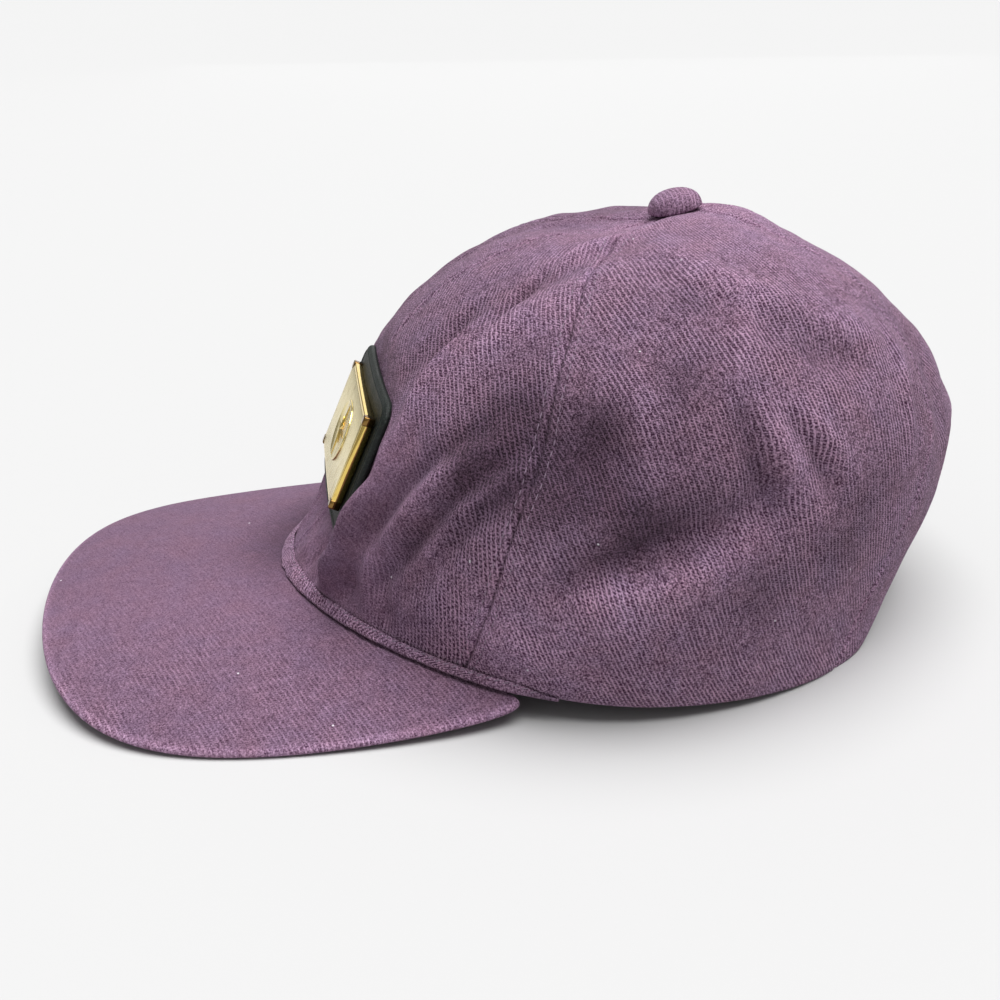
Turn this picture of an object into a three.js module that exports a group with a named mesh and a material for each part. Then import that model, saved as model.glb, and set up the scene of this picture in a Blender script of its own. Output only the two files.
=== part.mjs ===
// A six-panel strapback cap: a soft twill crown, a stiff covered peak, a leather and metal badge,
// and a cloth strap with a metal slide across the arch at the back.
// Millimetres. +Z is up, the front of the cap faces -Y and the wearer's left is +X.
// The cap stands on Z = 0 by the two feet of its arch and by the two low sides of its peak.

import * as THREE from "three";

// Driving dimensions of the whole cap
const CLOTH = 1.6; // thickness of a crown panel's wall
const GAP = 0.35; // clearance between neighbouring pieces
const SEAM_HALF_GAP = 0.2; // how far each panel stays back from the middle of a seam
const ORIGIN_Y = -34.67; // middle of the cap's length, measured from the middle of the head opening

// Colours and finishes
const TWILL = { color: 0x6d5268, roughness: 0.95, metalness: 0 };
const TWILL_PEAK = { color: 0x72566c, roughness: 0.95, metalness: 0 };
const BADGE_LEATHER = { color: 0x232b27, roughness: 0.55, metalness: 0 };
const GOLD_METAL = { color: 0xd8bf78, roughness: 0.28, metalness: 1 };
const NICKEL_METAL = { color: 0xb8b5ad, roughness: 0.3, metalness: 1 };

// Crown: one row for each control section, from the rim up to the button. Each row gives where the section
// stands on the front centre line, at the widest point of the side and on the back centre line.
// frontFull and backFull push the section out (or in) between those points.
const CROWN_SECTIONS = [
  { frontY: -98.4, frontZ: 13.7, sideX: 86.4, sideY: -8.4, sideZ: 4.3, backY: 82.0, backZ: -3.0,
    frontFull: -0.24, backFull: 0.02 },
  { frontY: -80.5, frontZ: 31.8, sideX: 91.8, sideY: -11.1, sideZ: 32.3, backY: 89.8, backZ: 24.7,
    frontFull: -0.01, backFull: -0.17 },
  { frontY: -77.2, frontZ: 54.4, sideX: 96.6, sideY: -3.3, sideZ: 64.2, backY: 109.0, backZ: 43.1,
    frontFull: 0.03, backFull: 0 },
  { frontY: -76.1, frontZ: 75.9, sideX: 87.1, sideY: 10.2, sideZ: 92.9, backY: 108.2, backZ: 62.7,
    frontFull: 0.02, backFull: 0 },
  { frontY: -60.7, frontZ: 94.5, sideX: 59.2, sideY: 21.3, sideZ: 108.3, backY: 82.9, backZ: 88.8,
    frontFull: 0, backFull: 0 },
  { frontY: -26.9, frontZ: 110.8, sideX: 25.8, sideY: 23.3, sideZ: 110.8, backY: 49.8, backZ: 110.8,
    frontFull: 0, backFull: 0 },
  { frontY: 17.2, frontZ: 110.8, sideX: 0, sideY: 17.2, sideZ: 110.8, backY: 17.2, backZ: 110.8,
    frontFull: 0, backFull: 0 },
];
const APEX = CROWN_SECTIONS[CROWN_SECTIONS.length - 1];
const BUTTON_HOLE_R = 4.6; // the panels end on a ring this far from the apex, under the button
const RIM_EASE = 0.06; // the folds fade in, and the wall turns square to the cloth, over this much rise

// Turn is the angle in degrees from the front centre line towards the wearer's left.
// Rise runs from 0 at the rim to 1 at the apex. Each seam's turn is a smooth curve over rise.
const FRONT_CENTRE_SEAM = [0];
const FRONT_SIDE_SEAM = [58, 64, 61, 42];
const SIDE_BACK_SEAM = [126, 140, 140, 140, 125];
const BACK_CENTRE_SEAM = [180];

// The arch opening's edge, from its foot on the rim to its top on the back centre line
const ARCH_EDGE = [
  { turn: 131, rise: 0 },
  { turn: 147, rise: 0.02 },
  { turn: 152, rise: 0.2 },
  { turn: 150, rise: 0.42 },
  { turn: 163, rise: 0.405 },
  { turn: 180, rise: 0.405 },
];

// Folds and ridges in the worn cloth: a centre line from one end over a middle point to the other end,
// how far the cloth stands out (or in), and the half width. "other" is the strength on the wearer's right.
const FOLDS = [
  // the long crest across the front panel and the hollow above it
  { turns: [20, 36, 66], rises: [0.36, 0.59, 0.81], height: 2.6, width: 9, other: 0.1 },
  { turns: [14, 29, 58], rises: [0.42, 0.66, 0.86], height: -2.2, width: 7, other: 1 },
  // the slanting fold from the side seam down to the peak
  { turns: [60, 45, 34], rises: [0.37, 0.27, 0.1], height: -2.4, width: 7, other: 0.5 },
  { turns: [53, 39, 30], rises: [0.38, 0.28, 0.07], height: 2.0, width: 7, other: 0.5 },
  // the fold beside the badge
  { turns: [30, 26, 21], rises: [0.29, 0.17, 0.05], height: -1.8, width: 5, other: 0.6 },
  { turns: [24, 20, 13], rises: [0.02, 0.05, 0.12], height: 1.4, width: 4, other: 0.8 },
  // the long sag low on the side panel, and the roll of cloth under it
  { turns: [108, 84, 64], rises: [0.27, 0.24, 0.15], height: -2.8, width: 8, other: 0.6 },
  { turns: [112, 90, 66], rises: [0.24, 0.185, 0.13], height: 1.8, width: 8, other: 0.6 },
  // the steep folds in the middle of the side panel
  { turns: [95, 101, 108], rises: [0.43, 0.32, 0.25], height: -2.0, width: 6, other: 0.4 },
  { turns: [97, 109, 118], rises: [0.46, 0.3, 0.24], height: 1.7, width: 7, other: 0.4 },
  { turns: [105, 111, 118], rises: [0.4, 0.34, 0.28], height: -1.5, width: 5, other: 0.4 },
  // the folds high on the side panel
  { turns: [76, 88, 98], rises: [0.74, 0.62, 0.52], height: 1.7, width: 7, other: 0.8 },
  { turns: [82, 88, 93], rises: [0.7, 0.6, 0.5], height: -1.7, width: 6, other: 0.8 },
  { turns: [96, 111, 128], rises: [0.58, 0.6, 0.59], height: 1.6, width: 6, other: 0.7 },
  { turns: [100, 111, 122], rises: [0.56, 0.545, 0.53], height: -1.6, width: 5, other: 0.7 },
  // the upright hollow beside the side-back seam
  { turns: [140, 142, 146], rises: [0.72, 0.52, 0.3], height: -1.6, width: 8, other: 1 },
];

// Round dents and swellings
const DENTS = [
  { turn: 76, rise: 0.39, height: -2.2, radius: 10, other: 0 },
  { turn: 0, rise: 1, height: -2.6, radius: 14, other: 1 },
  { turn: 180, rise: 0.91, height: 2.0, radius: 11, other: 1 },
  { turn: 40, rise: 0.86, height: -1.8, radius: 16, other: 1.4 },
  { turn: 0, rise: 0.94, height: -2.2, radius: 13, other: 1 },
  { turn: 166, rise: 0.37, height: 1.8, radius: 8, other: 1 },
];

// Peak: the outer edge at half its thickness, from the corner beside the crown to the middle of the front
const PEAK_TURN = 64; // the peak is sewn to the rim from this turn to the same turn on the other side
const PEAK_THICK = 3.0;
const PEAK_EDGE_THICK = 2.2;
const PEAK_CAMBER = 1.2;
const PEAK_LENGTH = 69; // from the rim to the front edge, on the centre line
const PEAK_CORNER_OUT = 1.5; // the corner starts this far outside the crown's cloth
const PEAK_ROWS = [0, 0.03, 0.15, 0.35, 0.55, 0.75, 0.9, 0.975, 1]; // from the rim out to the edge
const PEAK_EDGE = [
  { x: 86.4, y: -13.3, z: 4.0 },
  { x: 85.3, y: -124.8, z: -1.0 },
  { x: 94.2, y: -141.6, z: -3.0 },
  { x: 59.4, y: -167.0, z: 8.7 },
  { x: 0, y: -167.0, z: 8.7 },
];

// Binding strip over the seam between the crown and the peak. Its section is in shares of its height and
// thickness; tip is the share that is left of both where it tapers off.
const BINDING = { turn: 74, taper: 8, height: 3.2, thick: 1.2, tip: 0.3, off: 0.55 };
const BINDING_SECTION = [
  { up: 0.05, out: 0 },
  { up: 0.05, out: 0.8 },
  { up: 0.35, out: 1 },
  { up: 0.75, out: 1 },
  { up: 1, out: 0.6 },
  { up: 1, out: 0 },
];

// Badge: a leather patch with a metal plate on it, both bent to the front of the crown. The cloth is
// pressed flat behind it and eases back over pressMargin; bevelDepth is a share of the bevel's width.
const BADGE = {
  centreY: -79.0, centreZ: 51.5, leanDeg: 24.5, plateFace: 0.3, plateBend: 400, leatherBend: 180,
  plateWidth: 49, plateHeight: 29, plateThick: 2.2, plateCorner: 2, plateBevel: 1.6,
  leatherWidth: 60, leatherHeight: 39, leatherThick: 1.8, leatherCorner: 7, leatherBevel: 0.7,
  bevelDepth: 0.6, pressBorder: 1, pressMargin: 14, pressReach: 30,
};
const BADGE_ROWS = [-1, -0.72, -0.4, 0, 0.4, 0.72, 1]; // on the flat of the face, from bevel to bevel

// Button on the crown: baseRadius is the share of the radius where the dome turns under, wall the share of
// the height below the dome, and round how squarely the dome turns over
const BUTTON = {
  radius: 8.2, height: 7.2, baseRadius: 0.93, wall: 0.12, round: 0.8, sides: 24, steps: 6,
  stemRadius: 2.6, stemLength: 3.5, baseZ: 108.9, tiltDeg: -6,
};

// Strap across the arch, and its slide
const STRAP = {
  turn: 123, width: 18, thick: 2, bottomEnd: 1.0, bottomMiddle: 3.4, clearBy: 149, clearOver: 12,
  behindCloth: 0.6, proud: -0.5,
};
const SLIDE = {
  width: 27, rail: 2.2, bar: 3, thick: 1.4, corner: 2.5, slotCorner: 0.8, side: 1.0, easeOut: 12,
};

// Numbers of cells in the modelled surfaces. The strap's steps near the slide are strapCrowd of the even
// step.
const CELLS = {
  panelAcross: 11, panelUp: 15, peakAcross: 30, binding: 54, strap: 48, strapCrowd: 0.35,
  badgeAcross: 14, foldSteps: 10,
};
const HALVINGS = 24; // steps of each search by halving

const DEG = Math.PI / 180;

// Smooth curve through a list of control numbers, at t from 0 to 1
function bezier(values, t) {
  let level = values.slice();
  while (level.length > 1) {
    level = level.slice(1).map((value, i) => level[i] * (1 - t) + value * t);
  }
  return level[0];
}

function column(rows, name) {
  return rows.map((row) => row[name]);
}

function smooth(t) {
  const c = Math.min(1, Math.max(0, t));
  return c * c * (3 - 2 * c);
}

function lerp(a, b, t) {
  return a + (b - a) * t;
}

// The crown's plain form, before its folds
function plainCrown(turn, rise) {
  const at = (name) => bezier(column(CROWN_SECTIONS, name), rise);
  const s = Math.sin(turn * DEG);
  const c = Math.cos(turn * DEG);
  const front = (c * (1 + c)) / 2;
  const back = (c * (c - 1)) / 2;
  const side = s * s;
  const full = 1 + (c > 0 ? at("frontFull") : at("backFull")) * c * c;
  return new THREE.Vector3(
    at("sideX") * s * full,
    at("frontY") * front + at("sideY") * side + at("backY") * back,
    at("frontZ") * front + at("sideZ") * side + at("backZ") * back,
  );
}

// The plain form's outward direction. All turns meet in the apex, so there it is taken a little lower.
function plainNormal(turn, rise) {
  const nearApex = 0.985;
  const turnStep = 0.5;
  const riseStep = 0.005;
  const at = Math.min(rise, nearApex);
  const across = plainCrown(turn + turnStep, at).sub(plainCrown(turn - turnStep, at));
  const up = plainCrown(turn, at + riseStep).sub(plainCrown(turn, at - riseStep));
  return across.cross(up).normalize();
}

// A fold's centre line as points on the crown, for one side of the cap
function foldLine(fold, sideSign) {
  const line = [];
  for (let i = 0; i <= CELLS.foldSteps; i += 1) {
    const t = i / CELLS.foldSteps;
    line.push(plainCrown(sideSign * bezier(fold.turns, t), bezier(fold.rises, t)));
  }
  return line;
}

const FOLD_LINES = [1, -1].flatMap((sideSign) =>
  FOLDS.map((fold) => ({
    line: foldLine(fold, sideSign),
    height: fold.height * (sideSign > 0 ? 1 : fold.other),
    width: fold.width,
  })),
);

const DENT_POINTS = [1, -1].flatMap((sideSign) =>
  DENTS.filter((dent) => sideSign > 0 || dent.turn % 180 !== 0).map((dent) => ({
    point: plainCrown(sideSign * dent.turn, dent.rise),
    height: dent.height * (sideSign > 0 ? 1 : dent.other),
    radius: dent.radius,
  })),
);

// How far one fold lifts the cloth at a point: full on its centre line, nothing at its two ends
function foldLift(point, { line, height, width }) {
  let best = Infinity;
  let along = 0;
  for (let i = 0; i < line.length - 1; i += 1) {
    const step = line[i + 1].clone().sub(line[i]);
    const t = THREE.MathUtils.clamp(point.clone().sub(line[i]).dot(step) / step.lengthSq(), 0, 1);
    const distance = point.distanceTo(line[i].clone().addScaledVector(step, t));
    if (distance < best) {
      best = distance;
      along = (i + t) / (line.length - 1);
    }
  }
  return height * Math.exp(-((best / width) ** 2)) * Math.sin(Math.PI * along);
}

// Badge frame: right is the wearer's left, up leans back with the crown, out faces forward
const lean = BADGE.leanDeg * DEG;
const BADGE_CENTRE = new THREE.Vector3(0, BADGE.centreY, BADGE.centreZ);
const BADGE_UP = new THREE.Vector3(0, Math.sin(lean), Math.cos(lean));
const BADGE_OUT = new THREE.Vector3(0, -Math.cos(lean), Math.sin(lean));

function badgePoint(across, up, out, bend) {
  const point = BADGE_CENTRE.clone();
  point.x += across;
  point.addScaledVector(BADGE_UP, up);
  return point.addScaledVector(BADGE_OUT, out - (across * across) / (2 * bend));
}

// The cloth is pressed flat behind the leather patch, and eases back to its own form around it
function pressBehindBadge(point) {
  const local = point.clone().sub(BADGE_CENTRE);
  if (local.dot(BADGE_OUT) < -BADGE.pressReach) {
    return point;
  }
  const up = local.dot(BADGE_UP);
  const beyondX = Math.max(0, Math.abs(local.x) - BADGE.leatherWidth / 2 - BADGE.pressBorder);
  const beyondUp = Math.max(0, Math.abs(up) - BADGE.leatherHeight / 2 - BADGE.pressBorder);
  const hold = 1 - smooth(Math.hypot(beyondX, beyondUp) / BADGE.pressMargin);
  const back = BADGE.plateFace - BADGE.plateThick - BADGE.leatherThick - 2 * GAP;
  const limit = back - (local.x * local.x) / (2 * BADGE.leatherBend);
  const excess = local.dot(BADGE_OUT) - limit;
  return excess > 0 ? point.clone().addScaledVector(BADGE_OUT, -excess * hold) : point;
}

// A point of the crown's cloth: depth 0 is its outer face, CLOTH its inner face
function crownPoint(turn, rise, depth) {
  const plain = plainCrown(turn, rise);
  const normal = plainNormal(turn, rise);
  let lift = 0;
  for (const fold of FOLD_LINES) {
    lift += foldLift(plain, fold);
  }
  for (const dent of DENT_POINTS) {
    lift += dent.height * Math.exp(-((plain.distanceTo(dent.point) / dent.radius) ** 2));
  }
  const rimEase = smooth(rise / RIM_EASE);
  const outer = pressBehindBadge(plain.addScaledVector(normal, lift * rimEase));
  // at the rim the wall is cut level, so its thickness is measured on the flat
  const level = normal.clone().setZ(0).normalize();
  const inward = level.lerp(normal, rimEase).normalize();
  outer.addScaledVector(inward, -depth);
  outer.z = Math.max(outer.z, 0);
  return outer;
}

// The highest rise up to which a point of the plain crown is still below a limit, by halving
function riseWhere(turn, isBelow) {
  let low = 0;
  let high = 1;
  for (let i = 0; i < HALVINGS; i += 1) {
    const middle = (low + high) / 2;
    if (isBelow(plainCrown(turn, middle))) {
      low = middle;
    } else {
      high = middle;
    }
  }
  return low;
}

// The rise at which the crown's ring passes over the edge of the button's hole
function riseAtButton(turn) {
  return riseWhere(turn, (point) => Math.hypot(point.x, point.y - APEX.frontY) > BUTTON_HOLE_R);
}

// The rise at which the plain crown stands at a height above the floor
function riseAtHeight(turn, height) {
  return riseWhere(turn, (point) => point.z < height);
}

// Closed body between two grids of points with the same rows and columns. The outer grid's faces point
// along columns x rows.
function shellGeometry(outer, inner) {
  const rows = outer.length;
  const cols = outer[0].length;
  const positions = [...outer.flat(), ...inner.flat()].flatMap((point) => [point.x, point.y, point.z]);
  const index = [];
  const o = (r, c) => r * cols + c;
  const i = (r, c) => rows * cols + r * cols + c;
  const quad = (a, b, c, d) => index.push(a, b, c, a, c, d);
  for (let r = 0; r < rows - 1; r += 1) {
    for (let c = 0; c < cols - 1; c += 1) {
      quad(o(r, c), o(r, c + 1), o(r + 1, c + 1), o(r + 1, c));
      quad(i(r, c), i(r + 1, c), i(r + 1, c + 1), i(r, c + 1));
    }
    quad(o(r, 0), o(r + 1, 0), i(r + 1, 0), i(r, 0));
    quad(o(r + 1, cols - 1), o(r, cols - 1), i(r, cols - 1), i(r + 1, cols - 1));
  }
  for (let c = 0; c < cols - 1; c += 1) {
    quad(o(0, c + 1), o(0, c), i(0, c), i(0, c + 1));
    quad(o(rows - 1, c), o(rows - 1, c + 1), i(rows - 1, c + 1), i(rows - 1, c));
  }
  return indexedGeometry(positions, index);
}

// Closed body through a list of rings with the same number of points, capped at both ends
function sweptGeometry(rings) {
  const count = rings[0].length;
  const positions = rings.flat().flatMap((point) => [point.x, point.y, point.z]);
  const index = [];
  for (let r = 0; r < rings.length - 1; r += 1) {
    for (let k = 0; k < count; k += 1) {
      const next = (k + 1) % count;
      const a = r * count + k;
      const b = r * count + next;
      index.push(a, a + count, b + count, a, b + count, b);
    }
  }
  const last = (rings.length - 1) * count;
  for (let k = 1; k < count - 1; k += 1) {
    index.push(0, k, k + 1);
    index.push(last, last + k + 1, last + k);
  }
  return indexedGeometry(positions, index);
}

function indexedGeometry(positions, index) {
  const geometry = new THREE.BufferGeometry();
  geometry.setAttribute("position", new THREE.Float32BufferAttribute(positions, 3));
  geometry.setIndex(index);
  geometry.computeVertexNormals();
  return geometry;
}

function namedMesh(name, geometry, look) {
  const mesh = new THREE.Mesh(geometry, new THREE.MeshStandardMaterial(look));
  mesh.name = name;
  return mesh;
}

// One crown panel between two seams. Columns run in the direction of growing turn, rows from the rim up.
function crownPanel(name, seamA, seamB, sideSign, edgeAt) {
  const ordered = sideSign > 0 ? [seamA, seamB] : [seamB, seamA];
  const seamTurn = (seam, rise) => sideSign * bezier(seam, rise);
  const grids = [0, CLOTH].map((depth) => {
    const grid = [];
    for (let r = 0; r <= CELLS.panelUp; r += 1) {
      const up = r / CELLS.panelUp;
      const row = [];
      for (let c = 0; c <= CELLS.panelAcross; c += 1) {
        const across = c / CELLS.panelAcross;
        const edge = edgeAt(sideSign > 0 ? across : 1 - across);
        const edgeShare = sideSign > 0 ? edge.share : 1 - edge.share;
        const share = lerp(edgeShare, across, up);
        const topTurn = lerp(seamTurn(ordered[0], 1), seamTurn(ordered[1], 1), across);
        const rise = lerp(edge.rise, riseAtButton(topTurn), up);
        const turn = lerp(seamTurn(ordered[0], rise), seamTurn(ordered[1], rise), share);
        row.push(crownPoint(turn, rise, depth));
      }
      grid.push(row);
    }
    return grid;
  });
  grids.forEach((grid) => grid.forEach(pullBackFromSeams));
  return namedMesh(name, shellGeometry(grids[0], grids[1]), TWILL);
}

// Each row's two end points move in along the cloth, which leaves the seam's narrow gap
function pullBackFromSeams(row) {
  const last = row.length - 1;
  const inFirst = row[1].clone().sub(row[0]).normalize();
  const inLast = row[last - 1].clone().sub(row[last]).normalize();
  row[0].addScaledVector(inFirst, SEAM_HALF_GAP);
  row[last].addScaledVector(inLast, SEAM_HALF_GAP);
}

// Lower edge of a front or side panel: straight along the rim
function rimEdge(across) {
  return { share: across, rise: 0 };
}

// Lower edge of a back panel: one cell of rim, then the arch
function archEdge(across) {
  const rimShare = 1 / CELLS.panelAcross;
  const seamAt = (rise) => bezier(SIDE_BACK_SEAM, rise);
  if (across === 0) {
    return { share: 0, rise: 0 };
  }
  const t = (across - rimShare) / (1 - rimShare);
  const turn = bezier(column(ARCH_EDGE, "turn"), t);
  const rise = bezier(column(ARCH_EDGE, "rise"), t);
  return { share: (turn - seamAt(rise)) / (BACK_CENTRE_SEAM[0] - seamAt(rise)), rise };
}

// Peak: rows run from under the crown's wall out to the edge, columns from the right corner to the left
function peak() {
  const half = PEAK_THICK / 2;
  const corner = crownPoint(PEAK_TURN, 0, -PEAK_CORNER_OUT);
  corner.z -= GAP + half;
  const edge = [corner, ...PEAK_EDGE];
  const under = [];
  const top = [];
  for (const t of PEAK_ROWS) {
    const halfHere = t === 1 ? PEAK_EDGE_THICK / 2 : half;
    const underRow = [];
    const topRow = [];
    for (let c = 0; c <= CELLS.peakAcross; c += 1) {
      const across = (2 * c) / CELLS.peakAcross - 1;
      const inner = crownPoint(PEAK_TURN * across, 0, CLOTH);
      inner.z -= GAP + half;
      const along = 1 - Math.abs(across);
      const outer = new THREE.Vector3(
        Math.sign(across) * bezier(column(edge, "x"), along),
        bezier(column(edge, "y"), along),
        bezier(column(edge, "z"), along),
      );
      const camber = PEAK_CAMBER * (outer.distanceTo(inner) / PEAK_LENGTH) ** 2;
      const middle = inner.lerp(outer, t);
      middle.z += 4 * camber * t * (1 - t);
      underRow.push(new THREE.Vector3(middle.x, middle.y, Math.max(0, middle.z - halfHere)));
      topRow.push(new THREE.Vector3(middle.x, middle.y, middle.z + halfHere));
    }
    under.push(underRow);
    top.push(topRow);
  }
  return namedMesh("peak", shellGeometry(under, top), TWILL_PEAK);
}

// A narrow rounded strip that hugs the crown just above the peak and tapers off behind the peak's corners
function peakBinding() {
  const rings = [];
  for (let i = 0; i <= CELLS.binding; i += 1) {
    const turn = BINDING.turn * ((2 * i) / CELLS.binding - 1);
    const full = lerp(BINDING.tip, 1, smooth((BINDING.turn - Math.abs(turn)) / BINDING.taper));
    const height = BINDING.height * full;
    const thick = BINDING.thick * full;
    const bottom = plainCrown(turn, 0).z;
    rings.push(
      BINDING_SECTION.map(({ up, out }) => {
        const rise = riseAtHeight(turn, bottom + up * height);
        return crownPoint(turn, rise, -(BINDING.off + out * thick));
      }),
    );
  }
  return namedMesh("peak_binding", sweptGeometry(rings), TWILL_PEAK);
}

// A rounded plate bent to the badge's curve, with its front edge bevelled
function badgePlate(name, { width, height, thick, corner, bevel, face, bend }, look) {
  const halfW = width / 2;
  const halfH = height / 2;
  const rows = [-halfH, ...BADGE_ROWS.map((t) => t * (halfH - bevel)), halfH];
  const widthAt = (up) => {
    const past = Math.max(0, Math.abs(up) - (halfH - corner));
    return halfW - corner + Math.sqrt(Math.max(0, corner * corner - past * past));
  };
  const front = [];
  const back = [];
  for (const up of rows) {
    const reach = widthAt(up);
    const frontRow = [];
    const backRow = [];
    for (let c = 0; c <= CELLS.badgeAcross; c += 1) {
      const t = (2 * (c - 1)) / (CELLS.badgeAcross - 2) - 1;
      const onEdge = c === 0 || c === CELLS.badgeAcross;
      const across = onEdge ? Math.sign(t) * reach : t * (reach - bevel);
      const atRim = onEdge || Math.abs(up) === halfH;
      frontRow.push(badgePoint(across, up, face - (atRim ? bevel * BADGE.bevelDepth : 0), bend));
      backRow.push(badgePoint(across, up, face - thick, bend));
    }
    front.push(frontRow);
    back.push(backRow);
  }
  return namedMesh(name, shellGeometry(front, back), look);
}

// Button: a low dome on a short stem, turned about its own axis
function topButton() {
  const profile = [
    new THREE.Vector2(0, -BUTTON.stemLength),
    new THREE.Vector2(BUTTON.stemRadius, -BUTTON.stemLength),
    new THREE.Vector2(BUTTON.stemRadius, 0),
    new THREE.Vector2(BUTTON.radius * BUTTON.baseRadius, 0),
  ];
  for (let i = 0; i < BUTTON.steps; i += 1) {
    const angle = (i / BUTTON.steps) * 90 * DEG;
    const height = BUTTON.height * lerp(BUTTON.wall, 1, Math.sin(angle));
    profile.push(new THREE.Vector2(BUTTON.radius * Math.cos(angle) ** BUTTON.round, height));
  }
  profile.push(new THREE.Vector2(0, BUTTON.height));
  const geometry = new THREE.LatheGeometry(profile, BUTTON.sides);
  geometry.rotateX(90 * DEG);
  const mesh = namedMesh("top_button", geometry, TWILL);
  mesh.position.set(0, APEX.frontY, BUTTON.baseZ);
  mesh.rotation.x = -BUTTON.tiltDeg * DEG;
  return mesh;
}

// Where the slide sits: the middle of the strap on the back centre line
const slideCentreZ = STRAP.bottomMiddle + STRAP.width / 2;
const slideRise = riseAtHeight(180, slideCentreZ);
const SLIDE_CENTRE = plainCrown(180, slideRise);
const SLIDE_OUT = plainNormal(180, slideRise);
const SLIDE_ACROSS = new THREE.Vector3(-1, 0, 0);
const SLIDE_UP = SLIDE_OUT.clone().cross(SLIDE_ACROSS);

// How far the strap's middle layer lies outside the crown's surface: inside the panels at its ends,
// and nearly level with them across the arch
function strapOffset(turn) {
  const inside = -(CLOTH + STRAP.behindCloth + STRAP.thick / 2);
  return lerp(inside, STRAP.proud, smooth((Math.min(turn, 360 - turn) - STRAP.clearBy) / STRAP.clearOver));
}

// Through the slide the strap lies flat: behind the frame's sides and out over its middle bar
function strapThroughSlide(across, up, out) {
  const clear = SLIDE.thick / 2 + GAP + STRAP.thick / 2;
  const slotWidth = (SLIDE.width - 3 * SLIDE.bar) / 2;
  const onBar = 1 - smooth((Math.abs(across) - SLIDE.bar / 2 - GAP) / (slotWidth - 2 * GAP));
  const point = SLIDE_CENTRE.clone().addScaledVector(SLIDE_UP, up * STRAP.width - STRAP.width / 2);
  point.x += across;
  return point.addScaledVector(SLIDE_OUT, lerp(-clear, clear, onBar) + out);
}

function strap() {
  const rings = [];
  const half = STRAP.thick / 2;
  for (let i = 0; i <= CELLS.strap; i += 1) {
    // steps crowd together towards the middle, where the strap passes through the slide
    const even = (2 * i) / CELLS.strap - 1;
    const fromMiddle = even * lerp(CELLS.strapCrowd, 1, Math.abs(even));
    const turn = 180 + (180 - STRAP.turn) * fromMiddle;
    const middleShare = smooth((Math.min(turn, 360 - turn) - STRAP.turn) / (180 - STRAP.turn));
    const bottom = lerp(STRAP.bottomEnd, STRAP.bottomMiddle, middleShare);
    const offset = strapOffset(turn);
    const across = (180 - turn) * DEG * SLIDE_CENTRE.y;
    const flat = 1 - smooth((Math.abs(across) - SLIDE.width / 2 - GAP) / SLIDE.easeOut);
    const at = (up, out) => {
      const rise = riseAtHeight(turn, bottom + up * STRAP.width);
      const curved = plainCrown(turn, rise).addScaledVector(plainNormal(turn, rise), offset + out);
      return curved.lerp(strapThroughSlide(across, up, out), flat);
    };
    rings.push([
      at(0, -half), at(0, half), at(0.5, half), at(1, half), at(1, -half), at(0.5, -half),
    ]);
  }
  return namedMesh("strap", sweptGeometry(rings), TWILL);
}

// Slide: a flat metal frame with a middle bar. The strap passes behind its sides and over the bar.
function strapSlide() {
  const slotHeight = STRAP.width + 2 * SLIDE.side;
  const slotWidth = (SLIDE.width - 3 * SLIDE.bar) / 2;
  const slotCentre = (SLIDE.bar + slotWidth) / 2;
  const frameHeight = slotHeight + 2 * SLIDE.rail;
  const outline = roundedRectangle(new THREE.Shape(), 0, SLIDE.width, frameHeight, SLIDE.corner);
  for (const side of [-1, 1]) {
    const slot = new THREE.Path();
    outline.holes.push(roundedRectangle(slot, side * slotCentre, slotWidth, slotHeight, SLIDE.slotCorner));
  }
  const geometry = new THREE.ExtrudeGeometry(outline, {
    depth: SLIDE.thick, bevelEnabled: false, curveSegments: 4,
  });
  geometry.translate(0, 0, -SLIDE.thick / 2);
  const mesh = namedMesh("strap_slide", geometry, NICKEL_METAL);
  mesh.position.copy(SLIDE_CENTRE);
  // the frame's face turns to the back and leans as the crown's wall does
  const basis = new THREE.Matrix4().makeBasis(SLIDE_ACROSS, SLIDE_UP, SLIDE_OUT);
  mesh.quaternion.setFromRotationMatrix(basis);
  return mesh;
}

function roundedRectangle(path, centreX, width, height, corner) {
  const left = centreX - width / 2;
  const right = centreX + width / 2;
  const top = height / 2;
  path.moveTo(left + corner, -top);
  path.lineTo(right - corner, -top);
  path.absarc(right - corner, -top + corner, corner, -90 * DEG, 0, false);
  path.lineTo(right, top - corner);
  path.absarc(right - corner, top - corner, corner, 0, 90 * DEG, false);
  path.lineTo(left + corner, top);
  path.absarc(left + corner, top - corner, corner, 90 * DEG, 180 * DEG, false);
  path.lineTo(left, -top + corner);
  path.absarc(left + corner, -top + corner, corner, 180 * DEG, 270 * DEG, false);
  return path;
}

const cap = new THREE.Group();
for (const [suffix, sideSign] of [["left", 1], ["right", -1]]) {
  cap.add(
    crownPanel(`panel_front_${suffix}`, FRONT_CENTRE_SEAM, FRONT_SIDE_SEAM, sideSign, rimEdge),
    crownPanel(`panel_side_${suffix}`, FRONT_SIDE_SEAM, SIDE_BACK_SEAM, sideSign, rimEdge),
    crownPanel(`panel_back_${suffix}`, SIDE_BACK_SEAM, BACK_CENTRE_SEAM, sideSign, archEdge),
  );
}
cap.add(peak(), peakBinding(), topButton());
cap.add(
  badgePlate("badge_backing", {
    width: BADGE.leatherWidth, height: BADGE.leatherHeight, thick: BADGE.leatherThick,
    corner: BADGE.leatherCorner, bevel: BADGE.leatherBevel,
    face: BADGE.plateFace - BADGE.plateThick - GAP, bend: BADGE.leatherBend,
  }, BADGE_LEATHER),
  badgePlate("badge_plate", {
    width: BADGE.plateWidth, height: BADGE.plateHeight, thick: BADGE.plateThick,
    corner: BADGE.plateCorner, bevel: BADGE.plateBevel, face: BADGE.plateFace,
    bend: BADGE.plateBend,
  }, GOLD_METAL),
);
cap.add(strap(), strapSlide());
cap.position.y = -ORIGIN_Y;

export default cap;
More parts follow.
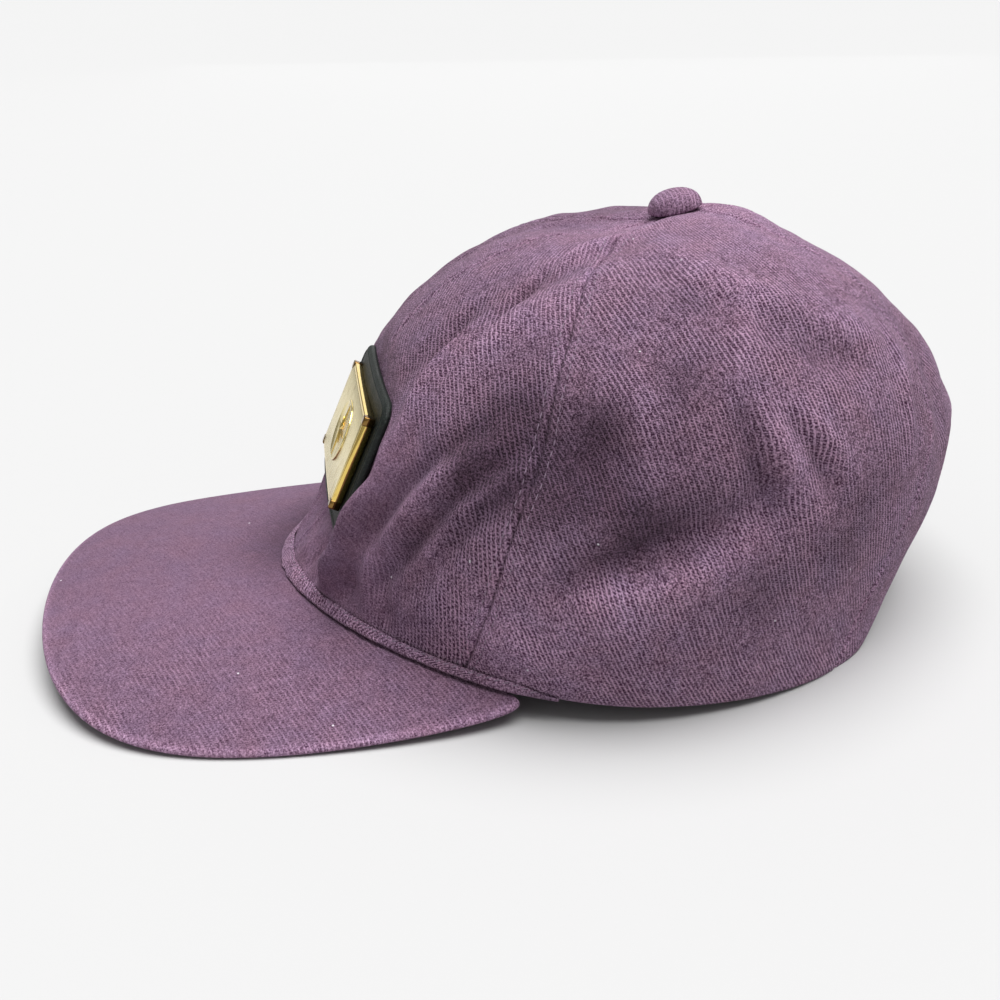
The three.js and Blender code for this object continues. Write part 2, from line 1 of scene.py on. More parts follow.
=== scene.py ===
"""A soft strapback cap of washed mauve twill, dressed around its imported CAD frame.

Each part of the cap is a class that holds its sizes, in millimetres unless a name says otherwise,
and builds its own mesh and finish. The crown's form is a smooth surface over two coordinates: turn,
the angle in degrees from the front centre line towards the wearer's left, and rise, which runs from
0 at the rim to 1 at the apex. The front of the cap faces -Y and the wearer's left is +X.
"""
import logging
import math
from dataclasses import dataclass, field
from enum import Enum
from typing import Any, Callable, Optional, Sequence

import bmesh
import bpy
import numpy as np
from mathutils import Matrix, Vector


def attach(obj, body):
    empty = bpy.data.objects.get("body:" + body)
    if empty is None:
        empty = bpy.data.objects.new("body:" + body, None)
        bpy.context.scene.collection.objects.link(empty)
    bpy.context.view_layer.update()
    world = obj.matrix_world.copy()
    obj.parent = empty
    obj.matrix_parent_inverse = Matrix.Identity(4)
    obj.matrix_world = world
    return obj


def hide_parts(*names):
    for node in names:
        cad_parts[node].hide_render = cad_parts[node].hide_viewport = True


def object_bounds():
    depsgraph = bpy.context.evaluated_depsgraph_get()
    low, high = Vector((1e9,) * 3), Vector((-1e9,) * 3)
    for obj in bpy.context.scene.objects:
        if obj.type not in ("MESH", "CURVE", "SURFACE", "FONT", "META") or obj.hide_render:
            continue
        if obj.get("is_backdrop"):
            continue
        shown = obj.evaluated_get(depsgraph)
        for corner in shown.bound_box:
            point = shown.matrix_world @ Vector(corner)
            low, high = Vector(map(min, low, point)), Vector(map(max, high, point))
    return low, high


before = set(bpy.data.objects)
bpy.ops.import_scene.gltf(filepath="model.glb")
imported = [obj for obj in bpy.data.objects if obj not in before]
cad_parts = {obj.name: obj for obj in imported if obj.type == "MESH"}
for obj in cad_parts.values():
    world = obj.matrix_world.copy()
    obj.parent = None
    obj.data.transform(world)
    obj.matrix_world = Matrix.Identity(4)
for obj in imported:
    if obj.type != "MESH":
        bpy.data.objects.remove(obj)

log = logging.getLogger("cap")
Array = np.ndarray
MM = 0.001
BODY = "root"
CLOTH_MAP = "cloth"
# The attribute that carries rubbed paleness and painted light and shade into the cloth's colour
WEAR_AND_PAINTED_LIGHT = "wear"
FELT = "felt"
MIDDLE_Y = 34.67  # the crown's tables are measured from the middle of the head opening
HALVINGS = 24


def bezier(values: Sequence[float], t: Array) -> Array:
    """Smooth curve through a list of control numbers.

    Args:
        values: The control numbers.
        t: Places along the curve, from 0 to 1.

    Returns:
        The curve's value at each place.
    """
    t = np.asarray(t, float)
    level = [np.full(t.shape, float(value)) for value in values]
    while len(level) > 1:
        level = [a * (1 - t) + b * t for a, b in zip(level, level[1:])]
    return level[0]


def smooth(t: Array) -> Array:
    """Eases from 0 to 1 as t does, and holds outside."""
    c = np.clip(t, 0.0, 1.0)
    return c * c * (3 - 2 * c)


def blend(a: Any, b: Any, t: Any) -> Any:
    """The value a share t of the way from a to b."""
    return a + (b - a) * t


def unit(vectors: Array) -> Array:
    """The vectors at length 1."""
    return vectors / np.linalg.norm(vectors, axis=-1, keepdims=True)


def bell(distance: Array, width: float) -> Array:
    """A soft bump that is 1 at distance 0 and fades over the width."""
    return np.exp(-((distance / width) ** 2))


def crowded(count: int, strength: float) -> Array:
    """Steps from 0 to 1 that stand closer together near both ends.

    Args:
        count: The number of steps.
        strength: From 0 for even steps towards 1 for the closest ends.

    Returns:
        The count + 1 places.
    """
    t = np.linspace(0.0, 1.0, count + 1)
    return t - strength * np.sin(2 * np.pi * t) / (2 * np.pi)


def ripple(points: Array, length: float, seed: int) -> Array:
    """Soft random unevenness, about -1 to 1, with a typical wavelength.

    Args:
        points: Places, in millimetres, in the last axis.
        length: The typical wavelength in millimetres.
        seed: Which unevenness it is.

    Returns:
        The unevenness at each place.
    """
    dice = np.random.default_rng(seed)
    waves = 12
    directions = unit(dice.normal(size=(waves, 3)))
    lengths = length * dice.uniform(0.7, 1.6, waves)
    phases = dice.uniform(0.0, 2 * np.pi, waves)
    angle = points @ (directions / lengths[:, None] * 2 * np.pi).T + phases
    return np.sin(angle).sum(-1) / math.sqrt(waves)


class Side(Enum):
    """The two sides of the cap, as the wearer has them."""

    LEFT = 1
    RIGHT = -1

    @property
    def word(self) -> str:
        """The side's name in a piece name."""
        return self.name.lower()


@dataclass(frozen=True)
class Section:
    """One control section of the crown, from the rim up.

    It gives where the section stands on the front centre line, at the widest point of the side and
    on the back centre line. front_full and back_full push it out, or in, between those points.
    """

    front_y: float
    front_z: float
    side_x: float
    side_y: float
    side_z: float
    back_y: float
    back_z: float
    front_full: float
    back_full: float


@dataclass(frozen=True)
class Fold:
    """A fold in the worn cloth, along a curve through turns and rises from one end to the other.

    other is its strength on the wearer's right.
    """

    turns: tuple[float, ...]
    rises: tuple[float, ...]
    height: float
    width: float
    other: float = 1.0


@dataclass(frozen=True)
class Dent:
    """A round dent or swelling. other is its strength on the wearer's right."""

    turn: float
    rise: float
    height: float
    radius: float
    other: float = 1.0


SECTIONS = (
    Section(-98.4, 13.7, 86.4, -8.4, 4.3, 82.0, -3.0, -0.24, 0.02),
    Section(-80.5, 31.8, 91.8, -11.1, 32.3, 89.8, 24.7, -0.01, -0.17),
    Section(-77.2, 54.4, 96.6, -3.3, 64.2, 109.0, 43.1, 0.03, 0.0),
    Section(-76.1, 75.9, 87.1, 10.2, 92.9, 108.2, 62.7, 0.02, 0.0),
    Section(-60.7, 94.5, 59.2, 21.3, 108.3, 82.9, 88.8, 0.0, 0.0),
    Section(-26.9, 110.8, 25.8, 23.3, 110.8, 49.8, 110.8, 0.0, 0.0),
    Section(17.2, 110.8, 0.0, 17.2, 110.8, 17.2, 110.8, 0.0, 0.0),
)

# The same main folds as the CAD solids have
MAIN_FOLDS = (
    Fold((20, 36, 66), (0.36, 0.59, 0.81), 2.6, 9, 0.1),
    Fold((14, 29, 58), (0.42, 0.66, 0.86), -2.2, 7, 1.0),
    Fold((60, 45, 34), (0.37, 0.27, 0.1), -2.4, 7, 0.5),
    Fold((53, 39, 30), (0.38, 0.28, 0.07), 2.0, 7, 0.5),
    Fold((30, 26, 21), (0.29, 0.17, 0.05), -1.8, 5, 0.6),
    Fold((24, 20, 13), (0.02, 0.05, 0.12), 1.4, 4, 0.8),
    Fold((108, 84, 64), (0.27, 0.24, 0.15), -2.8, 8, 0.6),
    Fold((112, 90, 66), (0.24, 0.185, 0.13), 1.8, 8, 0.6),
    Fold((95, 101, 108), (0.43, 0.32, 0.25), -2.0, 6, 0.4),
    Fold((97, 109, 118), (0.46, 0.3, 0.24), 1.7, 7, 0.4),
    Fold((105, 111, 118), (0.4, 0.34, 0.28), -1.5, 5, 0.4),
    Fold((76, 88, 98), (0.74, 0.62, 0.52), 1.7, 7, 0.8),
    Fold((82, 88, 93), (0.7, 0.6, 0.5), -1.7, 6, 0.8),
    Fold((96, 111, 128), (0.58, 0.6, 0.59), 1.6, 6, 0.7),
    Fold((100, 111, 122), (0.56, 0.545, 0.53), -1.6, 5, 0.7),
    Fold((140, 142, 146), (0.72, 0.52, 0.3), -1.6, 8, 1.0),
)

# Slack that stands up beside the stiff badge and gathers under it
BADGE_FOLDS = (
    Fold((31, 28, 27, 26, 25), (0.48, 0.37, 0.26, 0.16, 0.06), 4.6, 4.0, 0.3),
    Fold((27, 26, 25, 24, 23), (0.31, 0.22, 0.15, 0.08, 0.01), 7.0, 4.2, 0.25),
    Fold((18, 20, 19), (0.15, 0.09, 0.0), -1.9, 1.8, 0.8),
    Fold((22, 25, 25), (0.17, 0.09, 0.0), 1.6, 1.8, 0.8),
    Fold((26, 29, 31), (0.19, 0.1, 0.0), -1.9, 1.9, 0.8),
    Fold((30, 34, 37), (0.2, 0.11, 0.0), 1.6, 2.2, 0.8),
    Fold((34, 39, 43), (0.2, 0.1, 0.0), -1.2, 2.2, 0.8),
    Fold((8, 8, 7), (0.13, 0.07, 0.0), 1.4, 2.2, 0.9),
    Fold((13, 13, 13), (0.14, 0.08, 0.0), -1.4, 1.8, 0.9),
)

# Finer folds that only the cloth pieces show, from the front to the back
FINE_FOLDS = (
    # The pair of creases that runs up the front panel from the badge
    Fold((25, 26, 26), (0.45, 0.58, 0.71), -1.4, 2.0, 0.3),
    Fold((27, 31, 36), (0.43, 0.6, 0.75), 1.7, 1.9, 0.3),
    Fold((31, 39, 41, 33), (0.45, 0.58, 0.72, 0.87), -2.1, 1.7, 0.3),
    Fold((36, 42, 52), (0.76, 0.81, 0.89), 1.6, 3.0, 0.4),
    Fold((30, 38, 48, 62), (0.66, 0.76, 0.86, 0.94), 1.6, 4.0, 0.4),
    # The slack under them, which hangs over the lower front
    Fold((28, 31, 35, 40, 49), (0.14, 0.25, 0.33, 0.395, 0.44), -2.0, 2.8, 0.4),
    Fold((31, 36, 40, 45, 54), (0.11, 0.25, 0.32, 0.375, 0.43), 2.0, 2.8, 0.4),
    Fold((34, 40, 45, 49, 59), (0.05, 0.22, 0.305, 0.36, 0.42), -2.4, 2.7, 0.4),
    Fold((37, 44, 49, 54, 62), (0.05, 0.22, 0.315, 0.355, 0.39), 1.3, 2.6, 0.4),
    Fold((40, 48, 53, 58, 66), (0.05, 0.21, 0.305, 0.345, 0.38), -1.2, 2.6, 0.4),
    # The sides sag: they draw in at half their height and flare out again towards the rim
    Fold((40, 62, 84, 120), (0.4, 0.4, 0.32, 0.22), -3.4, 13.0, 0.8),
    # The long low fold across the side panel, and the bulge over it
    Fold((66, 80, 90, 105), (0.17, 0.26, 0.245, 0.33), -3.0, 4.5, 0.5),
    Fold((66, 82, 92, 109), (0.15, 0.21, 0.215, 0.28), 2.8, 5.6, 0.5),
    Fold((70, 82, 97), (0.27, 0.36, 0.345), 1.8, 7.0, 0.5),
    Fold((72, 77, 83), (0.54, 0.44, 0.3), 1.8, 5.0, 0.5),
    # Two short steep pleats behind the middle of the side panel
    Fold((92, 95, 102), (0.5, 0.42, 0.31), -2.1, 3.4, 0.5),
    Fold((94, 100, 108), (0.49, 0.4, 0.29), 2.1, 3.4, 0.5),
    Fold((100, 105, 114), (0.46, 0.41, 0.33), -1.7, 2.6, 0.5),
    Fold((101, 108, 118), (0.48, 0.42, 0.33), 1.6, 3.2, 0.5),
    # The shoulder where the flat top turns down, with a rib below it
    Fold((62, 80, 88, 123), (0.87, 0.72, 0.63, 0.62), 2.1, 6.0, 0.2),
    Fold((66, 82, 92, 121), (0.79, 0.66, 0.57, 0.56), -1.6, 6.0, 0.6),
    Fold((91, 91, 93), (0.69, 0.57, 0.43), 1.6, 3.2, 0.5),
    # Slack beside the seam of the back panel, and above the peak
    Fold((131, 129, 128, 132), (0.64, 0.52, 0.44, 0.32), 1.2, 2.6, 0.8),
    Fold((57, 66, 79), (0.105, 0.085, 0.055), 1.0, 4.0, 0.6),
)

# Hollows and swellings, the first four on the cloth pieces alone
DENTS = (
    Dent(76, 0.39, -2.2, 10, 0.0),
    Dent(56, 0.45, -1.2, 12, 0.3),
    Dent(-84, 0.8, -3.2, 18, 0.0),
    Dent(90, 0.96, 2.4, 11, 0.5),
    Dent(0, 1.0, -2.6, 14),
    Dent(180, 0.91, 2.0, 11),
    Dent(40, 0.86, -1.8, 16, 1.4),
    Dent(0, 0.94, -2.2, 13),
    Dent(166, 0.37, 1.8, 8),
    Dent(69, 0.4, -1.8, 8, 0.3),
    Dent(21, 0.71, -0.8, 4, 0.5),
)

# Patches of painted shade where folds fall into shadow, and of painted light where they catch light,
# given as dents in the cloth's paleness
PAINTED_LIGHT_AND_SHADE = (
    Dent(53, 0.45, -0.4, 10, 0.5),
    Dent(48, 0.37, -0.5, 8, 0.5),
    Dent(39, 0.24, -0.24, 6, 0.5),
    Dent(22, 0.19, 0.4, 8, 0.5),
    Dent(26, 0.35, 0.3, 8, 0.5),
    Dent(46, 0.2, 0.2, 6, 0.5),
    Dent(70, 0.44, -0.32, 7, 0.5),
    Dent(69, 0.35, -0.4, 8, 0.4),
    Dent(63, 0.29, -0.3, 8, 0.4),
    Dent(81, 0.3, -0.36, 9, 0.4),
    Dent(90, 0.36, -0.2, 8, 0.4),
    Dent(103, 0.2, -0.36, 12, 0.4),
    Dent(118, 0.24, -0.34, 11, 0.4),
    Dent(125, 0.36, -0.16, 9, 0.4),
    Dent(76, 0.4, 0.3, 9, 0.4),
    Dent(66, 0.43, 0.2, 6, 0.4),
    Dent(82, 0.5, -0.3, 9, 0.4),
    Dent(80, 0.65, -0.28, 5, 0.4),
    Dent(87, 0.24, 0.2, 6, 0.4),
    Dent(93, 0.44, -0.2, 5, 0.4),
    Dent(110, 0.37, 0.12, 7, 0.4),
    Dent(102, 0.285, 0.5, 8, 0.4),
    Dent(121, 0.31, -0.2, 8, 0.4),
    Dent(132, 0.46, -0.2, 6, 0.4),
    Dent(102, 0.62, -0.22, 8, 0.4),
    Dent(65, 0.23, 0.28, 7, 0.4),
    Dent(80, 0.18, 0.34, 9, 0.4),
    Dent(95, 0.265, 0.4, 8, 0.4),
    Dent(61, 0.11, 0.4, 12, 0.6),
    Dent(72, 0.1, 0.22, 14, 0.6),
    Dent(90, 0.64, 0.1, 9, 0.4),
    Dent(42, 0.8, 0.2, 9, 0.4),
    Dent(20, 0.93, 0.4, 14, 0.6),
)


@dataclass(frozen=True)
class BadgeSeat:
    """Where the badge lies on the front of the crown, and how it bends."""

    centre_y: float = -78.6
    centre_z: float = 52.2
    lean_deg: float = 24.5
    plate_face: float = 0.75
    plate_thick: float = 2.8
    plate_slant: float = 0.015
    leather_thick: float = 1.8
    leather_rise: float = 0.6
    leather_width: float = 64.0
    leather_height: float = 40.0
    leather_bend: float = 520.0
    plate_bend: float = 4000.0
    gap: float = 0.35
    cover_border: float = 0.2
    cover_margin: float = 1.8
    press_border: float = 1.0
    press_margin: float = 14.0
    press_reach: float = 30.0

    @property
    def centre(self) -> Array:
        """The middle of the badge's face."""
        return np.array([0.0, self.centre_y, self.centre_z])

    @property
    def up(self) -> Array:
        """The way up the badge, which leans back with the crown."""
        lean = math.radians(self.lean_deg)
        return np.array([0.0, math.sin(lean), math.cos(lean)])

    @property
    def out(self) -> Array:
        """The way the badge faces."""
        lean = math.radians(self.lean_deg)
        return np.array([0.0, -math.cos(lean), math.sin(lean)])

    @property
    def leather_face(self) -> float:
        """How far in front of the seat's middle the leather's padded face stands."""
        return self.plate_face - self.plate_thick + self.leather_rise

    def place(self, local: Array, bend: float, slant: float = 0.0) -> Array:
        """Brings badge coordinates onto the cap.

        Args:
            local: Points as across, up and out.
            bend: The radius that the badge is bent to.
            slant: How much prouder it stands towards the wearer's left, per millimetre.

        Returns:
            The points in the crown's tables' coordinates.
        """
        across = local[..., 0:1]
        out = local[..., 2:3] - across**2 / (2 * bend) + slant * across
        right = np.array([1.0, 0.0, 0.0])
        return self.centre + across * right + local[..., 1:2] * self.up + out * self.out

    def near(self, points: Array, border: float, margin: float) -> Array:
        """How near points are to the leather, seen from its front.

        Args:
            points: Points in the crown's tables' coordinates.
            border: How far beyond the leather's edge a point still counts as behind it.
            margin: How wide the band is over which the share then falls.

        Returns:
            The share of each point, from 1 behind the leather to 0 beyond the band.
        """
        local = points - self.centre
        beyond_x = np.maximum(0, np.abs(local[..., 0]) - self.leather_width / 2 - border)
        beyond_up = np.maximum(0, np.abs(local @ self.up) - self.leather_height / 2 - border)
        return 1 - smooth(np.hypot(beyond_x, beyond_up) / margin)

    def cover(self, points: Array) -> Array:
        """1 where a point lies behind the leather, and 0 from a little way beyond its edge."""
        return self.near(points, self.cover_border, self.cover_margin)

    def press(self, points: Array) -> Array:
        """Presses cloth flat behind the leather and eases it back to its own form around it."""
        local = points - self.centre
        outward = local @ self.out
        hold = self.near(points, self.press_border, self.press_margin)
        back = self.leather_face - self.leather_thick - self.gap
        limit = back - local[..., 0] ** 2 / (2 * self.leather_bend)
        excess = np.where(outward < -self.press_reach, 0.0, np.maximum(0.0, outward - limit))
        return points - (excess * hold)[..., None] * self.out


@dataclass(frozen=True)
class CrownForm:
    """The crown's surface: the CAD solids' form and main folds, with finer folds on top.

    The reach is how many of its widths a fold is felt on either side.
    """

    cloth: float = 1.6
    rim_ease: float = 0.06
    button_hole: float = 4.6
    fold_steps: int = 14
    fold_reach: float = 3.0
    seat: BadgeSeat = field(default_factory=BadgeSeat)

    def column(self, name: str) -> list[float]:
        """One named column of the table of sections."""
        return [getattr(section, name) for section in SECTIONS]

    def plain(self, turn: Array, rise: Array) -> Array:
        """The crown's form before its folds.

        Args:
            turn: Angles in degrees.
            rise: From 0 at the rim to 1 at the apex.

        Returns:
            The points, in millimetres.
        """
        at = {name: bezier(self.column(name), rise) for name in Section.__dataclass_fields__}
        s = np.sin(np.radians(turn))
        c = np.cos(np.radians(turn))
        front = c * (1 + c) / 2
        back = c * (c - 1) / 2
        side = s * s
        full = 1 + np.where(c > 0, at["front_full"], at["back_full"]) * c * c
        x = at["side_x"] * s * full
        y = at["front_y"] * front + at["side_y"] * side + at["back_y"] * back
        z = at["front_z"] * front + at["side_z"] * side + at["back_z"] * back
        return np.stack([x, y, z], axis=-1)

    def normal(self, turn: Array, rise: Array) -> Array:
        """The plain form's outward direction, taken a little below the apex, where all turns meet."""
        near_apex, turn_step, rise_step = 0.985, 0.5, 0.005
        at = np.minimum(rise, near_apex)
        across = self.plain(turn + turn_step, at) - self.plain(turn - turn_step, at)
        up = self.plain(turn, at + rise_step) - self.plain(turn, at - rise_step)
        return unit(np.cross(across, up))

    def fold_lift(
        self,
        points: Array,
        folds: Sequence[Fold] = MAIN_FOLDS + FINE_FOLDS,
        dents: Sequence[Dent] = DENTS,
    ) -> Array:
        """How far folds and dents lift the cloth.

        Args:
            points: Points on the plain crown.
            folds: The folds to take.
            dents: The dents to take.

        Returns:
            The lift of each point, in millimetres.
        """
        flat = points.reshape(-1, 3)
        total = np.zeros(len(flat))
        steps = np.linspace(0.0, 1.0, self.fold_steps + 1)
        for sign in (1, -1):
            for fold in folds:
                strength = fold.height * (1.0 if sign > 0 else fold.other)
                line = self.plain(sign * bezier(fold.turns, steps), bezier(fold.rises, steps))
                low = line.min(0) - self.fold_reach * fold.width
                high = line.max(0) + self.fold_reach * fold.width
                near = np.nonzero(((flat > low) & (flat < high)).all(1))[0]
                if strength != 0 and len(near):
                    total[near] += strength * self.one_fold(flat[near], line, fold)
            for dent in dents:
                if sign > 0 or dent.turn % 180 != 0:
                    strength = dent.height * (1.0 if sign > 0 else dent.other)
                    middle = self.plain(np.array(sign * dent.turn), np.array(dent.rise))
                    distance = np.linalg.norm(flat - middle, axis=1)
                    total += strength * bell(distance, dent.radius)
        return total.reshape(points.shape[:-1])

    @staticmethod
    def one_fold(points: Array, line: Array, fold: Fold) -> Array:
        """The share of one fold's height at each point: all on its line, none at its two ends."""
        start = line[:-1]
        step = np.diff(line, axis=0)
        offset = points[:, None] - start
        t = np.clip((offset * step).sum(-1) / (step**2).sum(-1), 0.0, 1.0)
        distance = np.linalg.norm(offset - t[..., None] * step, axis=-1)
        best = distance.argmin(1)
        rows = np.arange(len(points))
        nearest = distance[rows, best]
        along = (best + t[rows, best]) / len(step)
        return bell(nearest, fold.width) * np.sin(np.pi * along)

    def cloth_face(self, turn: Array, rise: Array, relief: Any = 0.0) -> Array:
        """The outer face of the cloth.

        Args:
            turn: Angles in degrees.
            rise: From 0 at the rim to 1 at the apex.
            relief: How far seams and small unevenness lift the face.

        Returns:
            The points, in millimetres.
        """
        plain = self.plain(turn, rise)
        ease = smooth(np.asarray(rise) / self.rim_ease)
        lift = self.fold_lift(plain) * ease
        normal = self.normal(turn, rise)
        face = self.seat.press(plain + normal * lift[..., None])
        slack = self.fold_lift(plain, BADGE_FOLDS, ()) * (1 - self.seat.cover(face)) * ease
        face = face + normal * (slack + relief)[..., None]
        face[..., 2] = np.maximum(face[..., 2], 0.0)
        return face

    def inward(self, turn: Array, rise: Array) -> Array:
        """The direction of the wall's thickness, which is level at the rim."""
        normal = self.normal(turn, rise)
        ease = smooth(np.asarray(rise) / self.rim_ease)[..., None]
        level = unit(normal * np.array([1.0, 1.0, 0.0]))
        return -unit(blend(level, normal, ease))

    def offset_point(self, turn: Array, rise: Array, out: Array) -> Array:
        """A point that stands out from the cloth, or lies in it where out is negative."""
        point = self.cloth_face(turn, rise) - self.inward(turn, rise) * np.asarray(out)[..., None]
        point[..., 2] = np.maximum(point[..., 2], 0.0)
        return point

    def rise_where(self, turn: Array, is_below: Callable[[Array], Array]) -> Array:
        """The highest rise up to which the plain crown is still below a limit, by halving."""
        low = np.zeros(np.shape(turn))
        high = np.ones(np.shape(turn))
        for _ in range(HALVINGS):
            middle = (low + high) / 2
            below = is_below(self.plain(turn, middle))
            low = np.where(below, middle, low)
            high = np.where(below, high, middle)
        return low

    def rise_at_button(self, turn: Array) -> Array:
        """The rise at which the crown's cloth ends under the button."""
        apex_y = SECTIONS[-1].front_y
        return self.rise_where(
            turn, lambda point: np.hypot(point[..., 0], point[..., 1] - apex_y) > self.button_hole
        )

    def rise_at_height(self, turn: Array, height: Array) -> Array:
        """The rise at which the plain crown stands at a height above the floor."""
        return self.rise_where(turn, lambda point: point[..., 2] < height)


def grid_normals(points: Array) -> Array:
    """Outward directions of a grid of points whose columns run across and rows run up."""
    across = np.gradient(points, axis=1)
    up = np.gradient(points, axis=0)
    return unit(np.cross(across, up))


def flat_cloth(
    points: Array, grain_deg: float, bow_deg: float = 0.0, gather: float = 0.0
) -> Array:
    """Lays a grid of points out flat, as the cloth was before it was sewn.

    The way up is carried from the grid's middle column out to both sides, so that the weave keeps
    its angle and its size all over the piece.

    Args:
        points: The grid, rows by columns by 3, in millimetres.
        grain_deg: The angle from the cloth's way across to the way across its twill lines.
        bow_deg: How far stretched cloth turns the lines from the foot of the piece to its head.
        gather: How much the lines draw together where the piece narrows, from 0 to 1.

    Returns:
        Flat coordinates in metres: across the twill lines, and along them.
    """
    rows, columns = points.shape[:2]
    normals = grid_normals(points)
    middle = columns // 2
    flat = np.zeros((rows, columns, 2))
    climb = np.linalg.norm(np.diff(points[:, middle], axis=0), axis=1)
    flat[1:, middle, 1] = np.cumsum(climb)
    middle_up = np.gradient(points[:, middle], axis=0)
    for direction in (1, -1):
        up = middle_up
        column = middle + direction
        while 0 <= column < columns:
            normal = normals[:, column]
            up = unit(up - (up * normal).sum(-1, keepdims=True) * normal)
            across = np.cross(up, normal)
            step = points[:, column] - points[:, column - direction]
            flat[:, column, 0] = flat[:, column - direction, 0] + (step * across).sum(-1)
            flat[:, column, 1] = flat[:, column - direction, 1] + (step * up).sum(-1)
            column += direction
    width = flat[:, -1:, 0] - flat[:, :1, 0]
    flat[..., 0] *= (width.max() / np.maximum(width, 0.05 * width.max())) ** gather
    grain = math.radians(grain_deg)
    turned = np.array([[math.cos(grain), -math.sin(grain)], [math.sin(grain), math.cos(grain)]])
    laid = flat @ turned
    height = max(float(np.ptp(flat[..., 1])), 1.0)
    off_middle = flat[..., 1] - flat[..., 1].mean()
    laid[..., 0] += math.tan(math.radians(bow_deg)) / (2 * height) * off_middle**2
    return laid * MM


def add_object(name: str, data: bpy.types.ID) -> bpy.types.Object:
    """Puts a mesh, a light or a camera into the scene, at the origin."""
    piece = bpy.data.objects.new(name, data)
    bpy.context.scene.collection.objects.link(piece)
    return piece


def mesh_from(name: str, bm: bmesh.types.BMesh) -> bpy.types.Mesh:
    """Turns a bmesh into a smooth mesh and frees it."""
    mesh = bpy.data.meshes.new(name)
    bm.to_mesh(mesh)
    bm.free()
    mesh.shade_smooth()
    return mesh


def object_from(name: str, bm: bmesh.types.BMesh) -> bpy.types.Object:
    """Turns a bmesh in millimetres and the crown's coordinates into an object of the scene."""
    bmesh.ops.translate(bm, verts=bm.verts, vec=(0.0, MIDDLE_Y, 0.0))
    bmesh.ops.scale(bm, verts=bm.verts, vec=(MM, MM, MM))
    return add_object(name, mesh_from(name, bm))


def extrude_back(bm: bmesh.types.BMesh, faces: Sequence[bmesh.types.BMFace], depth: float) -> None:
    """Gives flat faces a thickness behind them, and turns all faces outwards."""
    made = bmesh.ops.extrude_face_region(bm, geom=faces, use_keep_orig=True)
    behind = [item for item in made["geom"] if isinstance(item, bmesh.types.BMVert)]
    bmesh.ops.translate(bm, verts=behind, vec=(0.0, 0.0, -depth))
    bmesh.ops.recalc_face_normals(bm, faces=bm.faces[:])


def vertex_places(mesh: bpy.types.Mesh) -> Array:
    """The place of each vertex of a mesh."""
    places = np.empty(len(mesh.vertices) * 3)
    mesh.vertices.foreach_get("co", places)
    return places.reshape(-1, 3)


def lay_weave(mesh: bpy.types.Mesh, flat: Array, wear: Array, felt: Array) -> None:
    """Gives a mesh what the twill reads.

    Args:
        mesh: The mesh.
        flat: The flat coordinates of each vertex, in metres.
        wear: How faded the cloth is at each vertex, from 0 in a hollow to 1 on a crest, with painted
            light and shade mixed in.
        felt: How far the weave is felted over at each vertex, from 0 to 1.
    """
    corner = np.empty(len(mesh.loops), dtype=np.int32)
    mesh.loops.foreach_get("vertex_index", corner)
    layer = mesh.uv_layers.new(name=CLOTH_MAP)
    layer.uv.foreach_set("vector", flat[corner].ravel())
    for key, values in ((WEAR_AND_PAINTED_LIGHT, wear), (FELT, felt)):
        attribute = mesh.attributes.new(key, "FLOAT", "POINT")
        attribute.data.foreach_set("value", np.clip(values, 0.0, 1.0))


def cloth_piece(
    name: str,
    face: Array,
    back: Array,
    cloth: Array,
    wear: Array,
    felt: Optional[Array] = None,
) -> bpy.types.Object:
    """A closed piece of cloth between two grids of points.

    Args:
        name: The piece's name.
        face: The outer grid, rows by columns by 3, in millimetres.
        back: The inner grid, with the same rows and columns.
        cloth: The flat coordinates of each grid point, in metres.
        wear: How faded the cloth is at each grid point, with painted light and shade mixed in.
        felt: How felted the cloth is at each grid point, or nothing where it isn't.

    Returns:
        The object.
    """
    rows, columns = face.shape[0] - 1, face.shape[1] - 1
    bm = bmesh.new()
    bmesh.ops.create_grid(bm, x_segments=columns, y_segments=rows, size=0.5)
    extrude_back(bm, bm.faces[:], 1.0)
    mesh = mesh_from(name, bm)

    flat = vertex_places(mesh)
    column = np.rint((flat[:, 0] + 0.5) * columns).astype(int)
    row = np.rint((flat[:, 1] + 0.5) * rows).astype(int)
    is_back = flat[:, 2] < -0.5
    points = np.where(is_back[:, None], back[row, column], face[row, column])
    points = (points + np.array([0.0, MIDDLE_Y, 0.0])) * MM
    mesh.vertices.foreach_set("co", points.ravel())
    felted = np.zeros(face.shape[:2]) if felt is None else felt
    lay_weave(mesh, cloth[row, column], wear[row, column], felted[row, column])
    mesh.update()
    return add_object(name, mesh)


def to_linear(hex_colour: str) -> tuple[float, float, float, float]:
    """Turns an sRGB hex colour such as "#6D5268" into linear values with alpha 1."""
    values = [int(hex_colour[i:i + 2], 16) / 255 for i in (1, 3, 5)]
    linear = [v / 12.92 if v <= 0.04045 else ((v + 0.055) / 1.055) ** 2.4 for v in values]
    return (*linear, 1.0)


def add_node(
    tree: bpy.types.NodeTree,
    kind: str,
    settings: Optional[dict[str, Any]] = None,
    inputs: Optional[dict[Any, Any]] = None,
) -> bpy.types.Node:
    """Adds a node, with its settings and its links.

    Args:
        tree: The material's node tree.
        kind: The node type's identifier.
        settings: Properties of the node, by name.
        inputs: A value or another node's output for each input, by name or number.

    Returns:
        The new node.
    """
    node = tree.nodes.new(kind)
    for name, value in (settings or {}).items():
        setattr(node, name, value)
    for key, value in (inputs or {}).items():
        if isinstance(value, bpy.types.NodeSocket):
            tree.links.new(value, node.inputs[key])
        else:
            node.inputs[key].default_value = value
    return node


